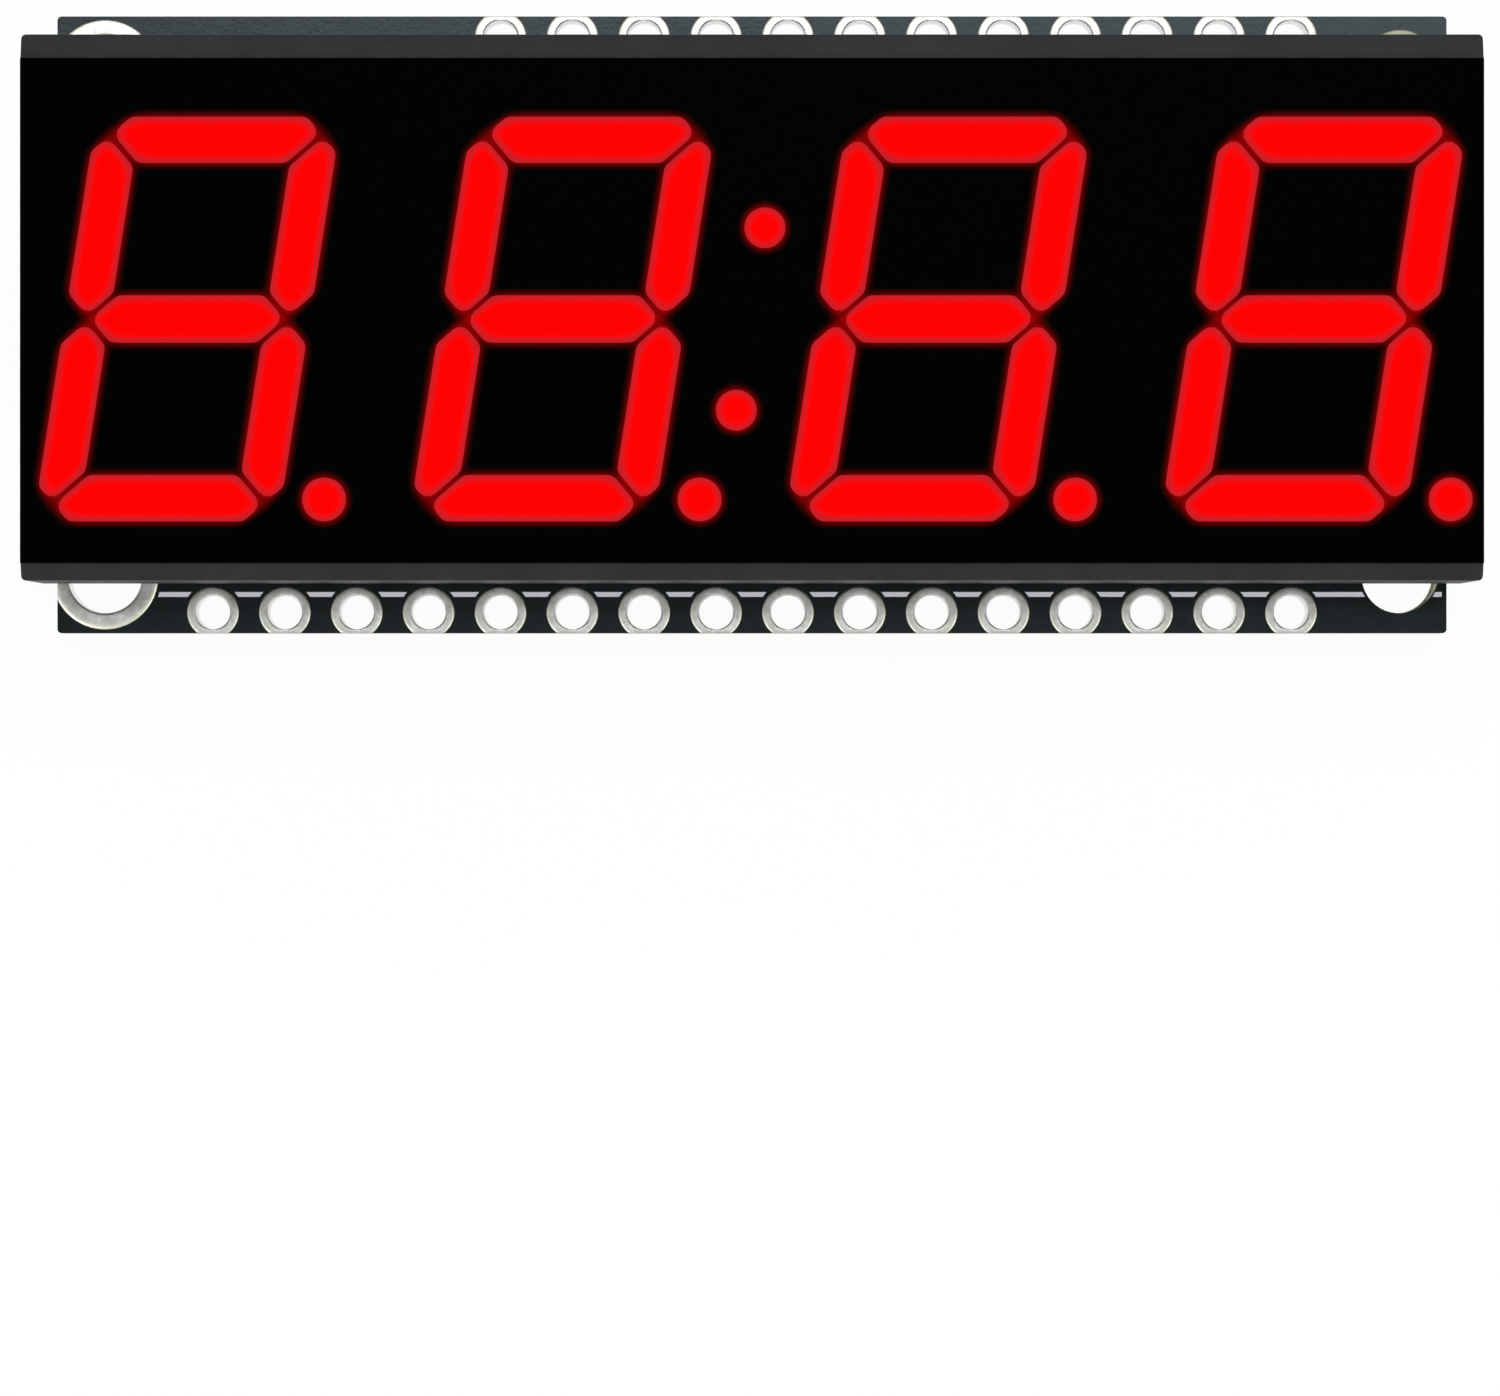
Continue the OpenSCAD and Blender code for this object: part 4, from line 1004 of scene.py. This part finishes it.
# %% find the parts
def islands(node):
    """Middle and size of each solid of a node: corners that share a triangle come to share a label."""
    mesh = frame["nodes"][node].data
    points = np.empty(len(mesh.vertices) * 3)
    mesh.vertices.foreach_get("co", points)
    used = np.empty(len(mesh.loops), dtype=np.int32)
    mesh.loops.foreach_get("vertex_index", used)
    spots, place = np.unique(np.round(points.reshape(-1, 3), 7), axis=0, return_inverse=True)
    triangles = place.ravel()[used].reshape(-1, 3)
    labels, before = np.arange(len(spots)), None
    while before is None or (labels != before).any():
        before = labels.copy()
        np.minimum.at(labels, triangles.ravel(), np.repeat(before[triangles].min(axis=1), 3))
    boxes = [(spots[labels == label].min(axis=0), spots[labels == label].max(axis=0))
             for label in np.unique(labels)]
    found = [((low + high) / 2, high - low) for low, high in boxes]
    return sorted(found, key=lambda part: tuple(np.round(part[0], 5)))


cap_t, cap_l, margin = 0.04 * mm, 0.4 * mm, 0.25 * mm
resistors = islands("resistor_bodies")
capacitors = islands("capacitor_bodies")
print(len(resistors), "resistors and", len(capacitors), "capacitors")

# %% bodies and end caps
def bodies_and_caps(parts, bulge):
    """Rounded bodies, and at each end a rounded cap that wraps the body by its own thickness."""
    body_grids, cap_grids = [], []
    for middle_point, size in parts:
        body_grids.append(rounded_boxes([middle_point], size, 0.05 * mm))
        whole = size + 2 * cap_t
        for way in (-1, 1):
            spot = middle_point + np.array([way * (whole[0] - cap_l) / 2, 0, 0])
            cap_grids.append(rounded_boxes([spot], (cap_l, whole[1], whole[2]), bulge))
    return body_grids, cap_grids


bodies, caps = bodies_and_caps(resistors, 0.06 * mm)
piece("resistor_chips", bodies, "resistor_glaze", "resistor_bodies")
piece("resistor_caps", caps, "end_caps", "resistor_end_caps")
bodies, caps = bodies_and_caps(capacitors, 0.09 * mm)
piece("capacitor_chips", bodies, "capacitor_ceramic", "capacitor_bodies")
piece("capacitor_caps", caps, "end_caps", "capacitor_end_caps")

# %% the diode
diode_middle = (diode_low + diode_high) / 2
diode_half = (diode_high - diode_low) / 2
diode_spot = diode_middle[:2]


def diode_rings():
    """A moulded body like the chip's, with steeper sides."""
    corner, edge_r, lean = 0.08 * mm, 0.05 * mm, 0.08 * mm
    rings = [(diode_half[0] - lean - edge_r, diode_half[1] - lean - edge_r, corner, diode_high[2]),
             (diode_half[0] - lean, diode_half[1] - lean, corner, diode_high[2] - edge_r),
             (diode_half[0], diode_half[1], corner, diode_middle[2] + 0.02 * mm),
             (diode_half[0], diode_half[1], corner, diode_middle[2] - 0.02 * mm)]
    for angle in np.linspace(0, math.pi / 2, 5):
        inset = lean + edge_r * (1 - math.cos(angle))
        rings.append((diode_half[0] - inset, diode_half[1] - inset, corner,
                      diode_low[2] + edge_r * (1 - math.sin(angle))))
    return rings


piece("diode_chip", [lofts([diode_spot], diode_rings())], "diode_epoxy", "diode_body",
      slot="chip_plastic", smooth_below=50)
diode_tip = corners("diode_leads")[1][1] - diode_spot[1]
diode_lead_w, diode_lead_t, diode_foot_l = 0.6 * mm, 0.14 * mm, 0.25 * mm
diode_foot_z = board_back - pad_t - diode_lead_t / 2
diode_path = bent_path([(diode_half[1] - 0.1 * mm, diode_middle[2]),
                        (diode_tip - diode_foot_l - 0.02 * mm, diode_middle[2]),
                        (diode_tip - diode_foot_l + 0.02 * mm, diode_foot_z),
                        (diode_tip, diode_foot_z)], 0.08 * mm)
tails = swept_leads([0], (-1, 1), diode_path, diode_lead_w, diode_lead_t, 0.02 * mm)
piece("diode_tails", [(tails[0] + (*diode_spot, 0), *tails[1:])], "tinned_leads", "diode_leads")

# %% their pads and solder
grids = []
for parts, climb in ((resistors, 0.35 * mm), (capacitors, 0.5 * mm)):
    for middle_point, size in parts:
        whole = size + 2 * cap_t
        ends = [(middle_point[0] + way * (whole[0] - cap_l) / 2, middle_point[1]) for way in (-1, 1)]
        pad_half = (cap_l / 2 + margin, whole[1] / 2 + margin / 2)
        grids.append(fillets(ends, pad_half, (cap_l / 2 - 0.01 * mm, whole[1] / 2 - 0.01 * mm), climb))
diode_feet = [(diode_spot[0], diode_spot[1] + side * (diode_tip - diode_foot_l / 2)) for side in (-1, 1)]
grids.append(fillets(diode_feet, (diode_lead_w / 2 + margin, diode_foot_l / 2 + margin),
                     (diode_lead_w / 2, diode_foot_l / 2 + 0.02 * mm), diode_lead_t * 0.8))
piece("part_joints", grids, "solder", "part_pads")
jumpers = islands("address_jumper_pads")
piece("jumper_lands", [low_pads([m[:2]], s[0] / 2, s[1] / 2) for m, s in jumpers],
      "tinned_pads", "address_jumper_pads")

# %% [markdown]
# ## The housing
# The housing is a moulded tub. Its walls rise from a back edge that stands off the board on four
# small feet, and its two long rims slope outwards beside the film. A mould leaves no sharp edge, so
# the walls turn into the rims over a small curve. The two rims differ in width, so a ring is given
# by its share of the way from the wall to the film, and the middle of the ring moves with it.

# %% housing
wall, end_wall = 1.0 * mm, 0.4 * mm
house_corner, back_round = 0.15 * mm, 0.06 * mm
foot_size = np.array([2.0, 0.3, 0.36]) * mm
foot_x, foot_inset = 18.0 * mm, 0.7 * mm
house_middle = (house_low + house_high) / 2
house_half = (house_high - house_low) / 2
rim_low_w, rim_high_w = film_low[1] - house_low[1], house_high[1] - film_high[1]
rim_drop = 0.3 * mm
back_z = house_low[2] + 0.3 * mm
pocket_z = back_z + 1.6 * mm


def rim_ring(share, height):
    """A ring this share of the way from the wall to the film, at this height over the rims' edge."""
    inset = share * (rim_low_w + rim_high_w) / 2
    shift = share * (rim_low_w - rim_high_w) / 2
    return (house_half[0], house_half[1] - inset, house_corner, house_high[2] - rim_drop + height,
            0.0, house_middle[1] + shift)


def wall_ring(inset_x, inset_y, z):
    """A ring parallel to the walls."""
    return (house_half[0] - inset_x, house_half[1] - inset_y, house_corner, z, 0.0, house_middle[1])


def housing_rings():
    """From the pocket's depth, over the back edge, up the walls and over the rims to the film."""
    rings = [wall_ring(end_wall, wall, pocket_z), wall_ring(end_wall, wall, back_z + back_round)]
    for angle in np.linspace(0, math.pi / 2, 4):
        turned, sunk = 1 - math.cos(angle), 1 - math.sin(angle)
        rings.append(wall_ring(end_wall - back_round * turned, wall - back_round * turned,
                               back_z + back_round * sunk))
    for angle in np.linspace(0, math.pi / 2, 4):
        turned, sunk = 1 - math.sin(angle), 1 - math.cos(angle)
        rings.append(wall_ring(back_round * turned, back_round * turned, back_z + back_round * sunk))
    soft, bend = 0.09 * mm, 0.13
    for t in np.linspace(0, 1, 6):
        rings.append(rim_ring(bend * t ** 2, -soft * (1 - t) ** 2 + rim_drop * bend * t ** 2))
    for share in (0.5, 0.9, 1.0):
        rings.append(rim_ring(share, rim_drop * share))
    return rings


foot_y = house_half[1] - foot_inset - foot_size[1] / 2
feet = [(x * foot_x, house_middle[1] + y * foot_y, house_low[2] + foot_size[2] / 2)
        for x in (-1, 1) for y in (-1, 1)]
piece("housing", [lofts([(0, 0)], housing_rings()), rounded_boxes(feet, foot_size, 0.05 * mm)],
      "charcoal_plastic", "display_housing")

# %% [markdown]
# ## Tracks under the mask
# The copper tracks run under the black mask and lift it a little, so they show as low ridges, a
# shade lighter than the board. Each follows a path with bends of 45 degrees. On each long side of
# the chip, every second pad leads to one of the seven display leads. The outermost track runs
# nearest to the chip, so that none crosses another. Each header ring leads to a small round hole
# between the display's leads, which the mask covers.

# %% tracks
ridge, track_w, bend_r = 0.02 * mm, 0.22 * mm, 0.2 * mm


def track(points, width=track_w):
    """A flat path with rounded bends, lifted across its width by a wave with steep sides."""
    path = bent_path(points, bend_r) if len(points) > 2 else np.array(points, float)
    ahead = np.gradient(path, axis=0)
    ahead /= np.linalg.norm(ahead, axis=1, keepdims=True)
    across = np.stack([-ahead[:, 1], ahead[:, 0]], axis=-1)
    share = np.linspace(-1, 1, 9)
    flat = path[:, None] + across[:, None] * share[None, :, None] * width / 2
    lift = np.clip((1 - np.abs(share)) * 3, 0, 1) ** 0.7
    z = np.broadcast_to(board_back + 0.004 * mm - lift * ridge, flat.shape[:2])
    return np.concatenate([flat, z[..., None]], axis=-1)[None], False, False


def lead_track(pad_x, to_lead, side, order):
    """From a chip pad outwards, along the chip's side on its own level, and out to a display lead."""
    way = math.copysign(1, to_lead[0] - pad_x)
    level = side * (chip_tip + 0.4 * mm + order * 0.32 * mm)
    step = 0.22 * mm
    run = level + side * step
    return track([(pad_x, side * (chip_tip - 0.2 * mm)), (pad_x, level), (pad_x + way * step, run),
                  (to_lead[0] - way * step, run), (to_lead[0], run + side * step), tuple(to_lead)])


def covered_holes(spots, r=0.3 * mm):
    """Small rings with a shallow dip in the middle, all under the mask."""
    shares = np.array([0.0, 0.3, 0.45, 0.6, 0.85, 1.0])
    lift = np.array([0.0, 0.0, 0.6, 1.0, 1.0, -0.2])
    angles = turn(24)
    spots = np.asarray(spots)
    x = spots[:, 0, None, None] + r * shares[None, :, None] * np.cos(angles)
    y = spots[:, 1, None, None] + r * shares[None, :, None] * np.sin(angles)
    z = np.broadcast_to(board_back - ridge * lift[None, :, None], x.shape)
    return np.stack([x, y, z], axis=-1), False, True


routes = []
for side, y in ((-1, lead_y[0]), (1, lead_y[1])):
    for index, x in enumerate(lead_x):
        order = 3 - abs(index - 3)
        routes.append(lead_track(chip_lead_x[2 * index], (x, y), side, min(order, 2)))
    for x in chip_lead_x[1::2]:
        routes.append(track([(x, side * 4.4 * mm), (x, side * 3.4 * mm)]))
hole_spots = []
for xs, y, toward in ((long_row_x, long_row_y, lead_y[0]), (short_row_x, short_row_y, lead_y[1])):
    for index, x in enumerate(xs):
        end_y = toward + math.copysign(1.0 * mm, y) * (index % 2)
        hole_spots.append((x, end_y))
        routes.append(track([(x, y - math.copysign(header_ring_r - 0.05 * mm, y)), (x, end_y)]))
for middle_point, size in resistors + capacitors:
    reach = size[0] / 2 + 0.2 * mm
    inward = -math.copysign(1, middle_point[0])
    end = (middle_point[0] + inward * (reach + 0.9 * mm), middle_point[1])
    routes.append(track([(middle_point[0] + inward * reach, middle_point[1]), end], 0.3 * mm))
    routes.append(track([(middle_point[0] - inward * reach, middle_point[1]),
                         (middle_point[0] - inward * (reach + 0.9 * mm), middle_point[1])], 0.3 * mm))
piece("tracks", routes, "masked_copper", slot="black_board")
piece("covered_holes", [covered_holes(hole_spots)], "masked_copper", slot="black_board")

# %% [markdown]
# ## The stage
# The photograph has a plain white ground. A floor below the module stays white to the camera, to
# reflections and to glass, and still takes a soft shadow: most of its colour is emission, and the
# rest is a matt white that the lamps light. It lies just under the chip, which the module rests on.

# %% floor
def pale_floor():
    """White to camera, glossy and transmission rays, with a share of true matt white for shadows."""
    made = bpy.data.materials.new("pale_floor")
    made.use_nodes = True
    tree = made.node_tree
    tree.nodes.clear()
    rays = add(tree, "ShaderNodeLightPath").outputs
    seen = calc(tree, "MAXIMUM", calc(tree, "MAXIMUM", rays["Is Camera Ray"], rays["Is Glossy Ray"]),
                rays["Is Transmission Ray"])
    matt = add(tree, "ShaderNodeBsdfDiffuse", Color=(0.86, 0.86, 0.85, 1)).outputs[0]
    glow = add(tree, "ShaderNodeEmission", Color=(1.0, 1.0, 0.995, 1), Strength=1.0).outputs[0]
    mixer = add(tree, "ShaderNodeMixShader", Fac=calc(tree, "MULTIPLY", seen, 0.94))
    tree.links.new(matt, mixer.inputs[1])
    tree.links.new(glow, mixer.inputs[2])
    out = tree.nodes.new("ShaderNodeOutputMaterial")
    tree.links.new(mixer.outputs[0], out.inputs["Surface"])
    return made


def make_floor(reach=3.0, rings=24, steps=96):
    """A disc in rings that grow outwards, so that it is finer near the module."""
    r = reach * np.linspace(0, 1, rings) ** 2
    angles = turn(steps)
    points = np.stack(np.broadcast_arrays(r[:, None] * np.cos(angles), r[:, None] * np.sin(angles),
                                          cad_box[0][2] - 0.02 * mm), axis=-1)
    mesh = bpy.data.meshes.new("floor")
    quads = grid_quads(rings, steps, False, True)
    mesh.from_pydata(points.reshape(-1, 3).tolist(), [], quads.tolist())
    weld(mesh)
    mesh.materials.append(pale_floor())
    made = bpy.data.objects.new("floor", mesh)
    bpy.context.scene.collection.objects.link(made)
    return made


floor = make_floor()
print("floor at z", round(cad_box[0][2] / mm, 2), "mm")

# %% [markdown]
# ## Light
# The photograph was lit so softly that nothing casts a shadow. A pale sky gives about half of the
# light, and it is white to the camera, to reflections and to glass. Three large, dim lamps give the
# rest. The largest hangs beyond the digits' upper side, where the black board mirrors it above the
# housing but not below it, so the upper strip looks paler, as in the photograph. Two weaker lamps
# stand at the lower left and lower right and brighten the lower side of each ring.

# %% sky and lamps
world = bpy.data.worlds.new("soft_sky")
bpy.context.scene.world = world
world.use_nodes = True
sky = world.node_tree
sky.nodes.clear()
rays = add(sky, "ShaderNodeLightPath").outputs
seen = calc(sky, "MAXIMUM", calc(sky, "MAXIMUM", rays["Is Camera Ray"], rays["Is Glossy Ray"]),
            rays["Is Transmission Ray"])
sky_level = 0.45
sky_strength = calc(sky, "MULTIPLY_ADD", seen, 1.0 - sky_level, sky_level)
sky_light = add(sky, "ShaderNodeBackground", Color=(1, 1, 1, 1), Strength=sky_strength)
sky.links.new(sky_light.outputs[0], add(sky, "ShaderNodeOutputWorld").inputs["Surface"])


def lamp(name, place_mm, size_mm, watts):
    """A square area lamp at a place, turned towards the module's middle."""
    data = bpy.data.lights.new(name, "AREA")
    data.size = size_mm * mm
    data.energy = watts
    made = bpy.data.objects.new(name, data)
    made.location = [c * mm for c in place_mm]
    aim = -made.location.normalized()
    made.rotation_euler = aim.to_track_quat("-Z", "Y").to_euler()
    bpy.context.scene.collection.objects.link(made)
    return made


lamp("upper", (12, 98, 330), 150, 0.64)
lamp("lower_left", (-160, -180, 200), 140, 0.22)
lamp("lower_right", (200, -120, 180), 120, 0.16)

# %% [markdown]
# ## Camera
# The photograph looks straight down from about 28 cm, from a point below the module's middle, and
# the frame is 53 mm wide at the board. Those three facts give the lens: its focal length is to the
# sensor's width as the distance is to the frame's.

# %% camera
sensor_w = 36.0
camera_place = (-0.07, -13.19, 288.0)
frame_w = 53.02
camera = bpy.data.cameras.new("camera")
camera.sensor_width = sensor_w
camera.lens = sensor_w * (camera_place[2] - board_front / mm) / frame_w
camera.clip_start, camera.clip_end = 0.01, 20.0
camera_object = bpy.data.objects.new("camera", camera)
camera_object.location = [c * mm for c in camera_place]
bpy.context.scene.collection.objects.link(camera_object)
bpy.context.scene.camera = camera_object
bpy.context.scene.view_settings.view_transform = "Standard"
print("lens", round(camera.lens, 1), "mm")
